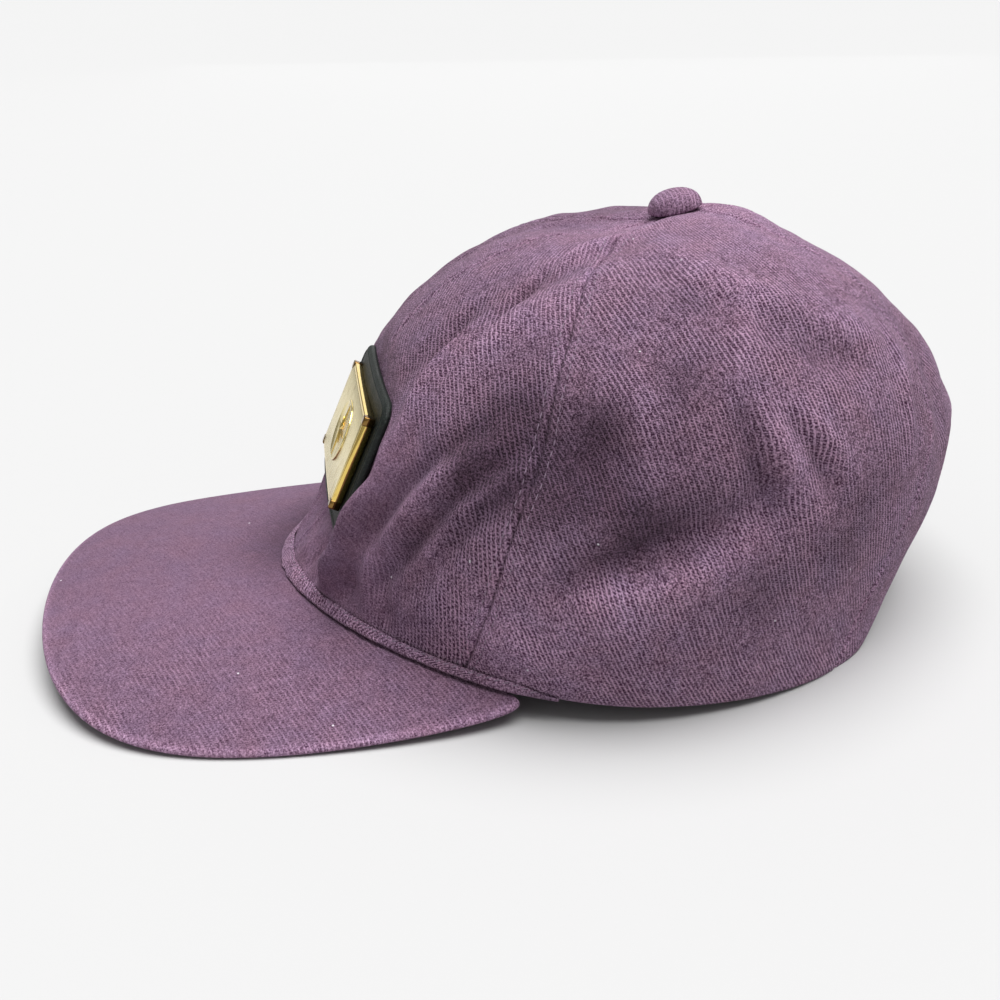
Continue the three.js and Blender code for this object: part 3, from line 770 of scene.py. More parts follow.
def new_material(name: str) -> tuple[bpy.types.Material, bpy.types.Node]:
    """Makes an empty material.

    Args:
        name: The finish's name.

    Returns:
        The material and its one shader, linked to the output.
    """
    material = bpy.data.materials.new(name)
    material.use_nodes = True
    material.node_tree.nodes.clear()
    shader = add_node(material.node_tree, "ShaderNodeBsdfPrincipled")
    add_node(
        material.node_tree, "ShaderNodeOutputMaterial", inputs={"Surface": shader.outputs["BSDF"]}
    )
    return material, shader


WAVE_PERIOD = 2 * math.pi / 20  # a Wave texture at scale 1 repeats after this length


@dataclass(frozen=True)
class WashedTwill:
    """Cotton twill, woven and garment washed.

    Thin pale ridges of warp slant over darker valleys, where the weft shows as short rungs with
    deep pits between them. Washing leaves a felted, matt face with warmer and cooler patches. The
    colour is also darkened with painted shade in the hollows of the folds and lightened with painted
    light on their crests and in other lit places, over some real paleness where washing rubbed the
    crests. The ridges and rungs are drawn coarser than a fine twill's, as wide as the photo shows
    them. Lengths are in millimetres.
    """

    name: str = "washed_cotton_twill"
    ridge: str = "#E4BDDB"
    valley: str = "#471F40"
    cool: str = "#F6F7FF"
    warm: str = "#FFF7F8"
    # The colour is multiplied by a mix from hollow to crest: painted shade and darker dye at the hollow
    # end, painted light and rubbed paleness at the crest end
    hollow: str = "#8B838A"
    crest: str = "#FFFFFF"
    lint: str = "#DAD4DC"
    sheen: str = "#D8C4D4"
    wale_pitch: float = 1.27
    rung_pitch: float = 0.7
    rung_angle_deg: float = -65.0
    fibre: float = 0.45
    wobble: float = 1.5
    slub: float = 2.2
    patch: float = 11.0
    felt_patch: float = 14.0
    sway: float = 16.0
    lint_spacing: float = 26.0
    lint_radius: float = 0.286
    contrast: float = 1.25
    depth: float = 0.3

    def material(self) -> bpy.types.Material:
        """Builds the material on the cloth's own flat coordinates."""
        material, shader = new_material(self.name)
        tree = material.node_tree
        flat = add_node(tree, "ShaderNodeUVMap", {"uv_map": CLOTH_MAP})
        space = add_node(tree, "ShaderNodeTexCoord")
        height = self.weave(tree, flat.outputs["UV"], space.outputs["Object"])
        tops = add_node(tree, "ShaderNodeMath", {"operation": "POWER"}, {
            0: height, 1: self.contrast,
        })
        woven = add_node(tree, "ShaderNodeMix", {"data_type": "RGBA"}, {
            0: tops.outputs["Value"], 6: to_linear(self.valley), 7: to_linear(self.ridge),
        })
        patches = add_node(tree, "ShaderNodeTexNoise", inputs={
            "Vector": space.outputs["Object"], "Scale": 1 / (self.patch * MM), "Detail": 4.0,
            "Roughness": 0.6,
        })
        sides = add_node(tree, "ShaderNodeMapRange", inputs={
            "Value": patches.outputs["Fac"], "From Min": 0.3, "From Max": 0.7,
        })
        tint = add_node(tree, "ShaderNodeMix", {"data_type": "RGBA"}, {
            0: sides.outputs["Result"], 6: to_linear(self.cool), 7: to_linear(self.warm),
        })
        tinted = add_node(tree, "ShaderNodeMix", {"data_type": "RGBA", "blend_type": "MULTIPLY"}, {
            0: 1.0, 6: woven.outputs[2], 7: tint.outputs[2],
        })
        # Painted light and shade, together with rubbed paleness, come in through this one attribute
        wear = add_node(tree, "ShaderNodeAttribute", {"attribute_name": WEAR_AND_PAINTED_LIGHT})
        fading = add_node(tree, "ShaderNodeMix", {"data_type": "RGBA"}, {
            0: wear.outputs["Fac"], 6: to_linear(self.hollow), 7: to_linear(self.crest),
        })
        faded = add_node(tree, "ShaderNodeMix", {"data_type": "RGBA", "blend_type": "MULTIPLY"}, {
            0: 1.0, 6: tinted.outputs[2], 7: fading.outputs[2],
        })
        specks = add_node(tree, "ShaderNodeTexVoronoi", {"voronoi_dimensions": "2D"}, {
            "Vector": flat.outputs["UV"], "Scale": 1 / (self.lint_spacing * MM),
        })
        small = add_node(tree, "ShaderNodeMath", {"operation": "LESS_THAN"}, {
            0: specks.outputs["Distance"], 1: self.lint_radius / self.lint_spacing,
        })
        rare = add_node(tree, "ShaderNodeMath", {"operation": "GREATER_THAN"}, {
            0: specks.outputs["Color"], 1: 0.6,
        })
        linty = add_node(tree, "ShaderNodeMath", {"operation": "MULTIPLY"}, {
            0: small.outputs["Value"], 1: rare.outputs["Value"],
        })
        colour = add_node(tree, "ShaderNodeMix", {"data_type": "RGBA"}, {
            0: linty.outputs["Value"], 6: faded.outputs[2], 7: to_linear(self.lint),
        })
        bump = add_node(tree, "ShaderNodeBump", inputs={
            "Height": height, "Distance": self.depth * MM,
        })
        tree.links.new(colour.outputs[2], shader.inputs["Base Color"])
        tree.links.new(bump.outputs["Normal"], shader.inputs["Normal"])
        shader.inputs["Roughness"].default_value = 0.95
        shader.inputs["IOR"].default_value = 1.4
        shader.inputs["Sheen Weight"].default_value = 0.04
        shader.inputs["Sheen Roughness"].default_value = 0.5
        shader.inputs["Sheen Tint"].default_value = to_linear(self.sheen)
        return material

    def weave(
        self, tree: bpy.types.NodeTree, flat: bpy.types.NodeSocket, space: bpy.types.NodeSocket
    ) -> bpy.types.NodeSocket:
        """Builds the height of the weave: ridges, rungs between them and loose fibre.

        Args:
            tree: The material's node tree.
            flat: The cloth's flat coordinates.
            space: The object's coordinates.

        Returns:
            The height, about 0 in a pit and 1 on a ridge.
        """
        sway = add_node(tree, "ShaderNodeTexNoise", {"noise_dimensions": "2D"}, {
            "Vector": flat, "Scale": 1 / (self.sway * MM), "Detail": 1.0,
        })
        drawn = add_node(tree, "ShaderNodeVectorMath", {"operation": "MULTIPLY_ADD"}, {
            0: sway.outputs["Color"], 1: (1.0 * MM, 1.0 * MM, 0.0), 2: flat,
        })
        wobble = add_node(tree, "ShaderNodeTexNoise", {"noise_dimensions": "2D"}, {
            "Vector": flat, "Scale": 1 / (self.wobble * MM), "Detail": 1.0,
        })
        swayed = add_node(tree, "ShaderNodeVectorMath", {"operation": "MULTIPLY_ADD"}, {
            0: wobble.outputs["Color"], 1: (0.5 * MM, 0.7 * MM, 0.0), 2: drawn.outputs["Vector"],
        })
        wales = add_node(tree, "ShaderNodeTexWave", {"bands_direction": "X"}, {
            "Vector": swayed.outputs["Vector"], "Scale": WAVE_PERIOD / (self.wale_pitch * MM),
            "Distortion": 0.0,
        })
        ridges = add_node(tree, "ShaderNodeMapRange", {"interpolation_type": "SMOOTHSTEP"}, {
            "Value": wales.outputs["Fac"], "From Min": 0.32, "From Max": 1.0,
        })
        slanted = add_node(tree, "ShaderNodeMapping", inputs={
            "Vector": swayed.outputs["Vector"],
            "Rotation": (0.0, 0.0, math.radians(self.rung_angle_deg)),
        })
        rungs = add_node(tree, "ShaderNodeTexWave", {"bands_direction": "X"}, {
            "Vector": slanted.outputs["Vector"], "Scale": WAVE_PERIOD / (self.rung_pitch * MM),
            "Distortion": 0.0,
        })
        low_rungs = add_node(tree, "ShaderNodeMath", {"operation": "MULTIPLY"}, {
            0: rungs.outputs["Fac"], 1: 0.7,
        })
        yarn = add_node(tree, "ShaderNodeMath", {"operation": "SMOOTH_MAX"}, {
            0: ridges.outputs["Result"], 1: low_rungs.outputs["Value"], 2: 0.2,
        })
        fibres = add_node(tree, "ShaderNodeTexNoise", inputs={
            "Vector": space, "Scale": 1 / (self.fibre * MM), "Detail": 3.0, "Roughness": 0.6,
        })
        fuzz = add_node(tree, "ShaderNodeMath", {"operation": "MULTIPLY_ADD"}, {
            0: fibres.outputs["Fac"], 1: 3.0, 2: -1.5,
        })
        slubs = add_node(tree, "ShaderNodeTexNoise", inputs={
            "Vector": space, "Scale": 1 / (self.slub * MM), "Detail": 1.0,
        })
        uneven = add_node(tree, "ShaderNodeMath", {"operation": "MULTIPLY_ADD"}, {
            0: slubs.outputs["Fac"], 1: 0.5, 2: -0.25,
        })
        loose = add_node(tree, "ShaderNodeMath", {"operation": "ADD"}, {
            0: fuzz.outputs["Value"], 1: uneven.outputs["Value"],
        })
        felt = add_node(tree, "ShaderNodeTexNoise", inputs={
            "Vector": space, "Scale": 1 / (self.felt_patch * MM), "Detail": 3.0,
        })
        clear = add_node(tree, "ShaderNodeMapRange", inputs={
            "Value": felt.outputs["Fac"], "From Min": 0.38, "From Max": 0.56, "To Min": 0.25,
            "To Max": 0.85,
        })
        centred = add_node(tree, "ShaderNodeMath", {"operation": "SUBTRACT"}, {
            0: yarn.outputs["Value"], 1: 0.5,
        })
        felted = add_node(tree, "ShaderNodeAttribute", {"attribute_name": FELT})
        kept = add_node(tree, "ShaderNodeMath", {"operation": "SUBTRACT"}, {
            0: 1.0, 1: felted.outputs["Fac"],
        })
        weave_kept = add_node(tree, "ShaderNodeMath", {"operation": "MULTIPLY"}, {
            0: clear.outputs["Result"], 1: kept.outputs["Value"],
        })
        fuzz_kept = add_node(tree, "ShaderNodeMath", {"operation": "MULTIPLY_ADD"}, {
            0: felted.outputs["Fac"], 1: -0.7, 2: 1.0,
        })
        ground = add_node(tree, "ShaderNodeMath", {"operation": "MULTIPLY_ADD"}, {
            0: loose.outputs["Value"], 1: fuzz_kept.outputs["Value"], 2: 0.44,
        })
        height = add_node(tree, "ShaderNodeMath", {"operation": "MULTIPLY_ADD"}, {
            0: centred.outputs["Value"], 1: weave_kept.outputs["Value"], 2: ground.outputs["Value"],
        })
        above = add_node(tree, "ShaderNodeMath", {"operation": "MAXIMUM"}, {
            0: height.outputs["Value"], 1: 0.0,
        })
        return above.outputs["Value"]


@dataclass(frozen=True)
class SewingThread:
    """Spun polyester thread, dyed to the cloth: slightly paler and smoother than the twill."""

    name: str = "spun_polyester_thread"
    colour: str = "#8F7A8E"
    twist: float = 0.3
    depth: float = 0.08

    def material(self) -> bpy.types.Material:
        """Builds the material, with the twist of the thread as a fine bump."""
        material, shader = new_material(self.name)
        tree = material.node_tree
        space = add_node(tree, "ShaderNodeTexCoord")
        twist = add_node(tree, "ShaderNodeTexNoise", inputs={
            "Vector": space.outputs["Object"], "Scale": 1 / (self.twist * MM),
        })
        bump = add_node(tree, "ShaderNodeBump", inputs={
            "Height": twist.outputs["Fac"], "Distance": self.depth * MM,
        })
        tree.links.new(bump.outputs["Normal"], shader.inputs["Normal"])
        shader.inputs["Base Color"].default_value = to_linear(self.colour)
        shader.inputs["Roughness"].default_value = 0.7
        shader.inputs["IOR"].default_value = 1.5
        return material


@dataclass(frozen=True)
class PatchLeather:
    """Drum-dyed calf leather, green-black, with a tight pebble grain and a dull wax gloss."""

    name: str = "green_black_calf_leather"
    dark: str = "#0D1210"
    rubbed: str = "#25302A"
    grain: float = 0.9
    cloud: float = 6.0
    depth: float = 0.09

    def material(self) -> bpy.types.Material:
        """Builds the material: pebbles are raised and rubbed a little paler than their creases."""
        material, shader = new_material(self.name)
        tree = material.node_tree
        space = add_node(tree, "ShaderNodeTexCoord")
        pebbles = add_node(tree, "ShaderNodeTexVoronoi", {"feature": "DISTANCE_TO_EDGE"}, {
            "Vector": space.outputs["Object"], "Scale": 1 / (self.grain * MM),
        })
        raised = add_node(tree, "ShaderNodeMapRange", inputs={
            "Value": pebbles.outputs["Distance"], "From Min": 0.0, "From Max": 0.3,
        })
        clouds = add_node(tree, "ShaderNodeTexNoise", inputs={
            "Vector": space.outputs["Object"], "Scale": 1 / (self.cloud * MM), "Detail": 3.0,
        })
        rub = add_node(tree, "ShaderNodeMath", {"operation": "MULTIPLY"}, {
            0: raised.outputs["Result"], 1: clouds.outputs["Fac"],
        })
        colour = add_node(tree, "ShaderNodeMix", {"data_type": "RGBA"}, {
            0: rub.outputs["Value"], 6: to_linear(self.dark), 7: to_linear(self.rubbed),
        })
        gloss = add_node(tree, "ShaderNodeMapRange", inputs={
            "Value": clouds.outputs["Fac"], "To Min": 0.45, "To Max": 0.65,
        })
        bump = add_node(tree, "ShaderNodeBump", inputs={
            "Height": raised.outputs["Result"], "Distance": self.depth * MM,
        })
        tree.links.new(colour.outputs[2], shader.inputs["Base Color"])
        tree.links.new(gloss.outputs["Result"], shader.inputs["Roughness"])
        tree.links.new(bump.outputs["Normal"], shader.inputs["Normal"])
        shader.inputs["IOR"].default_value = 1.5
        shader.inputs["Specular IOR Level"].default_value = 0.3
        return material


@dataclass(frozen=True)
class PlatedMetal:
    """Die-struck metal, plated and polished: mirror-like, with faint waves and cloudy patches of tarnish
    and duller polish.
    """

    name: str
    colour: str
    tarnish: str
    roughness: float
    cloud: float = 4.0
    wave: float = 5.0
    depth: float = 0.015

    def material(self) -> bpy.types.Material:
        """Builds the material: roughness varies with wear and a slow wave bends reflections."""
        material, shader = new_material(self.name)
        tree = material.node_tree
        space = add_node(tree, "ShaderNodeTexCoord")
        clouds = add_node(tree, "ShaderNodeTexNoise", inputs={
            "Vector": space.outputs["Object"], "Scale": 1 / (self.cloud * MM), "Detail": 4.0,
            "Roughness": 0.65,
        })
        spots = add_node(tree, "ShaderNodeMapRange", inputs={
            "Value": clouds.outputs["Fac"], "From Min": 0.56, "From Max": 0.76, "To Max": 0.6,
        })
        colour = add_node(tree, "ShaderNodeMix", {"data_type": "RGBA"}, {
            0: spots.outputs["Result"], 6: to_linear(self.colour), 7: to_linear(self.tarnish),
        })
        gloss = add_node(tree, "ShaderNodeMapRange", inputs={
            "Value": clouds.outputs["Fac"], "To Min": self.roughness * 0.7,
            "To Max": self.roughness * 1.6,
        })
        waves = add_node(tree, "ShaderNodeTexNoise", inputs={
            "Vector": space.outputs["Object"], "Scale": 1 / (self.wave * MM),
        })
        bump = add_node(tree, "ShaderNodeBump", inputs={
            "Height": waves.outputs["Fac"], "Distance": self.depth * MM,
        })
        tree.links.new(colour.outputs[2], shader.inputs["Base Color"])
        tree.links.new(gloss.outputs["Result"], shader.inputs["Roughness"])
        tree.links.new(bump.outputs["Normal"], shader.inputs["Normal"])
        shader.inputs["Metallic"].default_value = 1.0
        return material


@dataclass
class Wardrobe:
    """The cap's finishes, each built once."""

    twill: bpy.types.Material = field(default_factory=lambda: WashedTwill().material())
    thread: bpy.types.Material = field(default_factory=lambda: SewingThread().material())
    leather: bpy.types.Material = field(default_factory=lambda: PatchLeather().material())
    gold: bpy.types.Material = field(default_factory=lambda: PlatedMetal(
        "yellow_gold_plate", "#EACB72", "#A5803C", 0.12).material())
    champagne: bpy.types.Material = field(default_factory=lambda: PlatedMetal(
        "champagne_gold_plate", "#E6D59A", "#B49A5E", 0.22).material())
    darkened: bpy.types.Material = field(default_factory=lambda: PlatedMetal(
        "darkened_gold_plate", "#87683A", "#33241A", 0.14).material())
    nickel: bpy.types.Material = field(default_factory=lambda: PlatedMetal(
        "nickel_plate", "#C9C6BD", "#8E8A80", 0.24).material())

    def dress(
        self,
        piece: bpy.types.Object,
        material: bpy.types.Material,
        slot: Optional[str] = None,
        stands_for: Sequence[str] = (),
    ) -> bpy.types.Object:
        """Gives a piece its finish and ties it to the frame.

        Args:
            piece: The finished object.
            material: Its finish.
            slot: The record's material slot, if it has one; not used.
            stands_for: The CAD nodes that it replaces.

        Returns:
            The piece.
        """
        piece.data.materials.clear()
        piece.data.materials.append(material)
        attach(piece, BODY)
        if stands_for:
            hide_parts(*stands_for)
        log.info("%s: %d faces", piece.name, len(piece.data.polygons))
        return piece


@dataclass
class StitchRow:
    """A row of lockstitches along a line on the cloth."""

    name: str
    line: Array
    normals: Array
    pitch: float = 2.7
    length: float = 1.9
    thick: float = 0.32
    slant_deg: float = 0.0
    sunk: float = 0.05
    flatness: float = 1.2
    look_ahead: float = 0.5

    def build(self) -> bpy.types.Object:
        """Lays one small rounded stitch after another along the line."""
        steps = np.linalg.norm(np.diff(self.line, axis=0), axis=1)
        run = np.concatenate([[0.0], np.cumsum(steps)])
        count = max(1, int(run[-1] / self.pitch))
        places = (np.arange(count) + 0.5) * run[-1] / count
        bm = bmesh.new()
        for place in places:
            middle = self.at(self.line, run, place)
            ahead = self.at(self.line, run, place + self.look_ahead)
            along = Vector(ahead - middle).normalized()
            normal = Vector(self.at(self.normals, run, place)).normalized()
            along.rotate(Matrix.Rotation(math.radians(self.slant_deg), 3, normal))
            across = normal.cross(along).normalized()
            normal = along.cross(across)
            basis = Matrix((across, normal, along)).transposed().to_4x4()
            basis.translation = Vector(middle) - normal * self.sunk
            half = self.thick / 2
            size = Matrix.Diagonal((half, half / self.flatness, self.length / 2, 1.0))
            bmesh.ops.create_uvsphere(bm, u_segments=6, v_segments=5, radius=1.0, matrix=basis @ size)
        return object_from(self.name, bm)

    @staticmethod
    def at(values: Array, run: Array, place: float) -> Array:
        """The value of each column at a place along the run."""
        return np.array([np.interp(place, run, values[:, k]) for k in range(3)])


FRONT_CENTRE = (0.0,)
FRONT_SIDE = (58.0, 64.0, 61.0, 42.0)
SIDE_BACK = (126.0, 140.0, 140.0, 140.0, 125.0)
BACK_CENTRE = (180.0,)
ARCH_TURNS = (131.0, 147.0, 152.0, 150.0, 163.0, 180.0)
ARCH_RISES = (0.0, 0.02, 0.2, 0.42, 0.405, 0.405)
ARCH_FOOT = 1 / 11  # the share of a back panel's lower edge that is rim


def rim_edge(across: Array) -> tuple[Array, Array]:
    """The share and the rise of a straight lower edge on the rim."""
    return across, np.zeros(across.shape)


def arch_edge(across: Array) -> tuple[Array, Array]:
    """The share and the rise of a back panel's lower edge: a short stretch of rim, then the arch."""
    t = np.clip((across - ARCH_FOOT) / (1 - ARCH_FOOT), 0.0, 1.0)
    turn = bezier(ARCH_TURNS, t)
    rise = bezier(ARCH_RISES, t)
    seam = bezier(SIDE_BACK, rise)
    share = (turn - seam) / (BACK_CENTRE[0] - seam)
    return share * np.clip(across / ARCH_FOOT, 0.0, 1.0), rise


@dataclass(frozen=True)
class Fading:
    """How the crown's cloth has faded and felted, and where light and shade are painted into its colour:
    strengths, and the lengths that they fade over.
    """

    usual: float = 0.46
    # Crests paler and hollows darker: partly rubbed paleness, partly painted shade in the hollows
    crest: float = 0.11
    crest_limit: float = 3.5
    # Painted light: the upper crown is made lighter, as if lit from above
    top: float = 0.22
    top_from: float = 0.5
    top_over: float = 0.4
    # Painted light: the back is made lighter, as if lit from behind
    sun: float = 0.14
    sun_turns: float = 60.0
    hem: float = 0.3
    hem_width: float = 1.0
    # Painted light: a broad band above the hem is made lighter, as if lit by light thrown up from the
    # floor
    low: float = 0.16
    low_width: float = 16.0
    seam: float = 0.15
    seam_off: float = 0.9
    seam_width: float = 0.5
    groove: float = 0.2
    groove_width: float = 0.4
    badge_felt: float = 0.8
    badge_turn: float = 54.0
    badge_turn_over: float = 26.0
    badge_rise: float = 0.52
    top_felt: float = 0.5
    top_felt_from: float = 0.66
    felt_over: float = 0.2


@dataclass
class CrownPanel:
    """One sewn panel of the crown, with its seam edges, hem and topstitching."""

    form: CrownForm
    part: str
    side: Side
    front_seam: tuple[float, ...]
    back_seam: tuple[float, ...]
    lower_edge: Callable[[Array], tuple[Array, Array]] = rim_edge
    grain_deg: float = 30.0
    bow_deg: float = 0.0
    gather: float = 0.3
    columns: int = 120
    rows: int = 190
    edge_crowding: float = 0.72
    seam_gap: float = 0.07
    seam_roll: float = 0.8
    seam_roll_width: float = 0.75
    stitch_inset: float = 2.4
    stitch_sink: float = 0.16
    pucker: float = 0.13
    hem_roll: float = 0.55
    hem_roll_width: float = 0.8
    hem_ease: float = 4.0
    pucker_length: float = 4.6
    pucker_width: float = 3.0
    stitch_width: float = 0.5
    slow_wave: tuple[float, float] = (0.26, 19.0)
    quick_wave: tuple[float, float] = (0.1, 8.5)
    seed: int = 3
    fading: Fading = field(default_factory=Fading)

    @property
    def node(self) -> str:
        """The CAD node that this panel stands for."""
        return f"panel_{self.part}_{self.side.word}"

    def coordinates(self) -> tuple[Array, Array]:
        """The turn and rise of each grid point, with columns in the direction of growing turn."""
        sign = self.side.value
        across = crowded(self.columns, self.edge_crowding)[None, :]
        up = np.linspace(0.0, 1.0, self.rows + 1)[:, None]
        from_front = across if sign > 0 else 1 - across
        edge_share, edge_rise = self.lower_edge(from_front)
        front_top = bezier(self.front_seam, np.array(1.0))
        back_top = bezier(self.back_seam, np.array(1.0))
        top_rise = self.form.rise_at_button(blend(front_top, back_top, from_front))
        rise = blend(edge_rise, top_rise, up)
        share = blend(edge_share, from_front + 0 * up, up)
        front = bezier(self.front_seam, rise)
        back = bezier(self.back_seam, rise)
        return sign * blend(front, back, share), rise

    def build(self) -> tuple[bpy.types.Object, list[tuple[str, Array, Array]]]:
        """Builds the panel.

        Returns:
            The object, and the name, line and normals of each row of topstitching on it.
        """
        turn, rise = self.coordinates()
        form = self.form
        smooth_face = form.cloth_face(turn, rise)
        steps = np.linalg.norm(np.diff(smooth_face, axis=1), axis=2)
        run = np.concatenate([np.zeros((len(steps), 1)), np.cumsum(steps, axis=1)], axis=1)
        to_seam = np.minimum(run, run[:, -1:] - run)
        climb = np.linalg.norm(np.diff(smooth_face, axis=0), axis=2)
        from_hem = np.concatenate([np.zeros((1, climb.shape[1])), np.cumsum(climb, axis=0)])
        relief = self.relief(smooth_face, to_seam, from_hem)
        face = form.cloth_face(turn, rise, relief)
        back = smooth_face + form.inward(turn, rise) * form.cloth
        back[..., 2] = np.maximum(back[..., 2], 0.0)
        self.pull_back(face)
        cloth = flat_cloth(form.plain(turn, rise), self.grain_deg, self.bow_deg, self.gather)
        wear = self.wear(turn, rise, to_seam, from_hem)
        felt = self.felt(turn, rise)
        piece = cloth_piece(f"cloth_{self.part}_{self.side.word}", face, back, cloth, wear, felt)
        return piece, self.stitch_lines(face, run)

    def relief(self, face: Array, to_seam: Array, from_hem: Array) -> Array:
        """How seams, hem and small unevenness lift or sink the cloth.

        Args:
            face: The smooth cloth.
            to_seam: Each point's distance from the nearer seam.
            from_hem: Each point's distance from the lower edge.

        Returns:
            The lift of each point.
        """
        roll = -self.seam_roll * bell(to_seam, self.seam_roll_width)
        stitched = -self.stitch_sink * bell(to_seam - self.stitch_inset, self.stitch_width)
        gathered = bell(to_seam - self.stitch_inset, self.pucker_width) * self.pucker
        puckers = gathered * ripple(face, self.pucker_length, self.seed)
        hem = -self.hem_roll * bell(from_hem, self.hem_roll_width)
        (slow, slow_length), (quick, quick_length) = self.slow_wave, self.quick_wave
        body = slow * ripple(face, slow_length, self.seed + 1)
        body = body + quick * ripple(face, quick_length, self.seed + 2)
        return roll + stitched + puckers + hem + body * smooth(from_hem / self.hem_ease)

    def pull_back(self, grid: Array) -> None:
        """Moves the face's two seam edges in along the cloth: a fine groove, closed at the back."""
        first = unit(grid[:, 1] - grid[:, 0]) * self.seam_gap
        last = unit(grid[:, -2] - grid[:, -1]) * self.seam_gap
        grid[:, 0] += first
        grid[:, -1] += last

    def wear(self, turn: Array, rise: Array, to_seam: Array, from_hem: Array) -> Array:
        """How pale the cloth is: paler on the hem and beside the seams, with painted light and shade on
        the crests and hollows of the folds, the top, the back, a band above the hem and a list of
        patches.
        """
        fading = self.fading
        plain = self.form.plain(turn, rise)
        # Painted shade in fold hollows, and painted light on fold crests and on the top
        lift = np.clip(self.form.fold_lift(plain), -fading.crest_limit, fading.crest_limit)
        top = fading.top * smooth((rise - fading.top_from) / fading.top_over)
        crests = fading.usual + fading.crest * lift + top
        # Painted light on the back
        sun = fading.sun * smooth((np.abs(turn) - fading.sun_turns) / fading.sun_turns)
        hem = fading.hem * bell(from_hem, fading.hem_width)
        # Painted light on a broad band above the hem
        low = fading.low * bell(from_hem, fading.low_width)
        seams = fading.seam * bell(to_seam - fading.seam_off, fading.seam_width)
        grooves = fading.groove * bell(to_seam, fading.groove_width)
        # Listed patches of painted light and painted shade
        patches = self.form.fold_lift(plain, (), PAINTED_LIGHT_AND_SHADE)
        return crests + sun + (hem + low) + (seams - grooves) + patches

    def felt(self, turn: Array, rise: Array) -> Array:
        """How felted the cloth is: rubbed smooth beside the badge and on the flat top."""
        fading = self.fading
        beside = smooth((fading.badge_turn - np.abs(turn)) / fading.badge_turn_over)
        below = smooth((fading.badge_rise - rise) / fading.felt_over)
        top = fading.top_felt * smooth((rise - fading.top_felt_from) / fading.felt_over)
        return np.maximum(fading.badge_felt * beside * below, top)

    def stitch_lines(self, face: Array, run: Array) -> list[tuple[str, Array, Array]]:
        """The lines of topstitching beside the panel's two seams."""
        normals = grid_normals(face)
        width = run[:, -1]
        lines = []
        ends = ("front", "back") if self.side is Side.LEFT else ("back", "front")
        for end, inset in zip(ends, (self.stitch_inset, -self.stitch_inset)):
            rows = [r for r in range(len(run)) if width[r] > 4 * self.stitch_inset]
            place = [inset if inset > 0 else width[r] + inset for r in rows]
            line = np.array([
                [np.interp(at, run[r], face[r, :, k]) for k in range(3)] for r, at in zip(rows, place)
            ])
            normal = np.array([
                [np.interp(at, run[r], normals[r, :, k]) for k in range(3)] for r, at in zip(rows, place)
            ])
            name = f"stitches_{self.part}_{self.side.word}_{end}_seam"
            lines.append((name, line, normal))
        return lines


@dataclass
class Crown:
    """The six panels of the crown and their topstitching."""

    form: CrownForm
    wardrobe: Wardrobe

    def build(self) -> None:
        """Builds each panel and the rows of stitches on it."""
        for side in Side:
            panels = (
                CrownPanel(self.form, "front", side, FRONT_CENTRE, FRONT_SIDE, grain_deg=32.0),
                CrownPanel(self.form, "side", side, FRONT_SIDE, SIDE_BACK, grain_deg=27.0,
                           bow_deg=-40.0, gather=0.5),
                CrownPanel(self.form, "back", side, SIDE_BACK, BACK_CENTRE, arch_edge,
                           grain_deg=42.0),
            )
            for panel in panels:
                piece, lines = panel.build()
                self.wardrobe.dress(piece, self.wardrobe.twill, "twill", [panel.node])
                for name, line, normals in lines:
                    row = StitchRow(name, line, normals).build()
                    self.wardrobe.dress(row, self.wardrobe.thread, "twill")


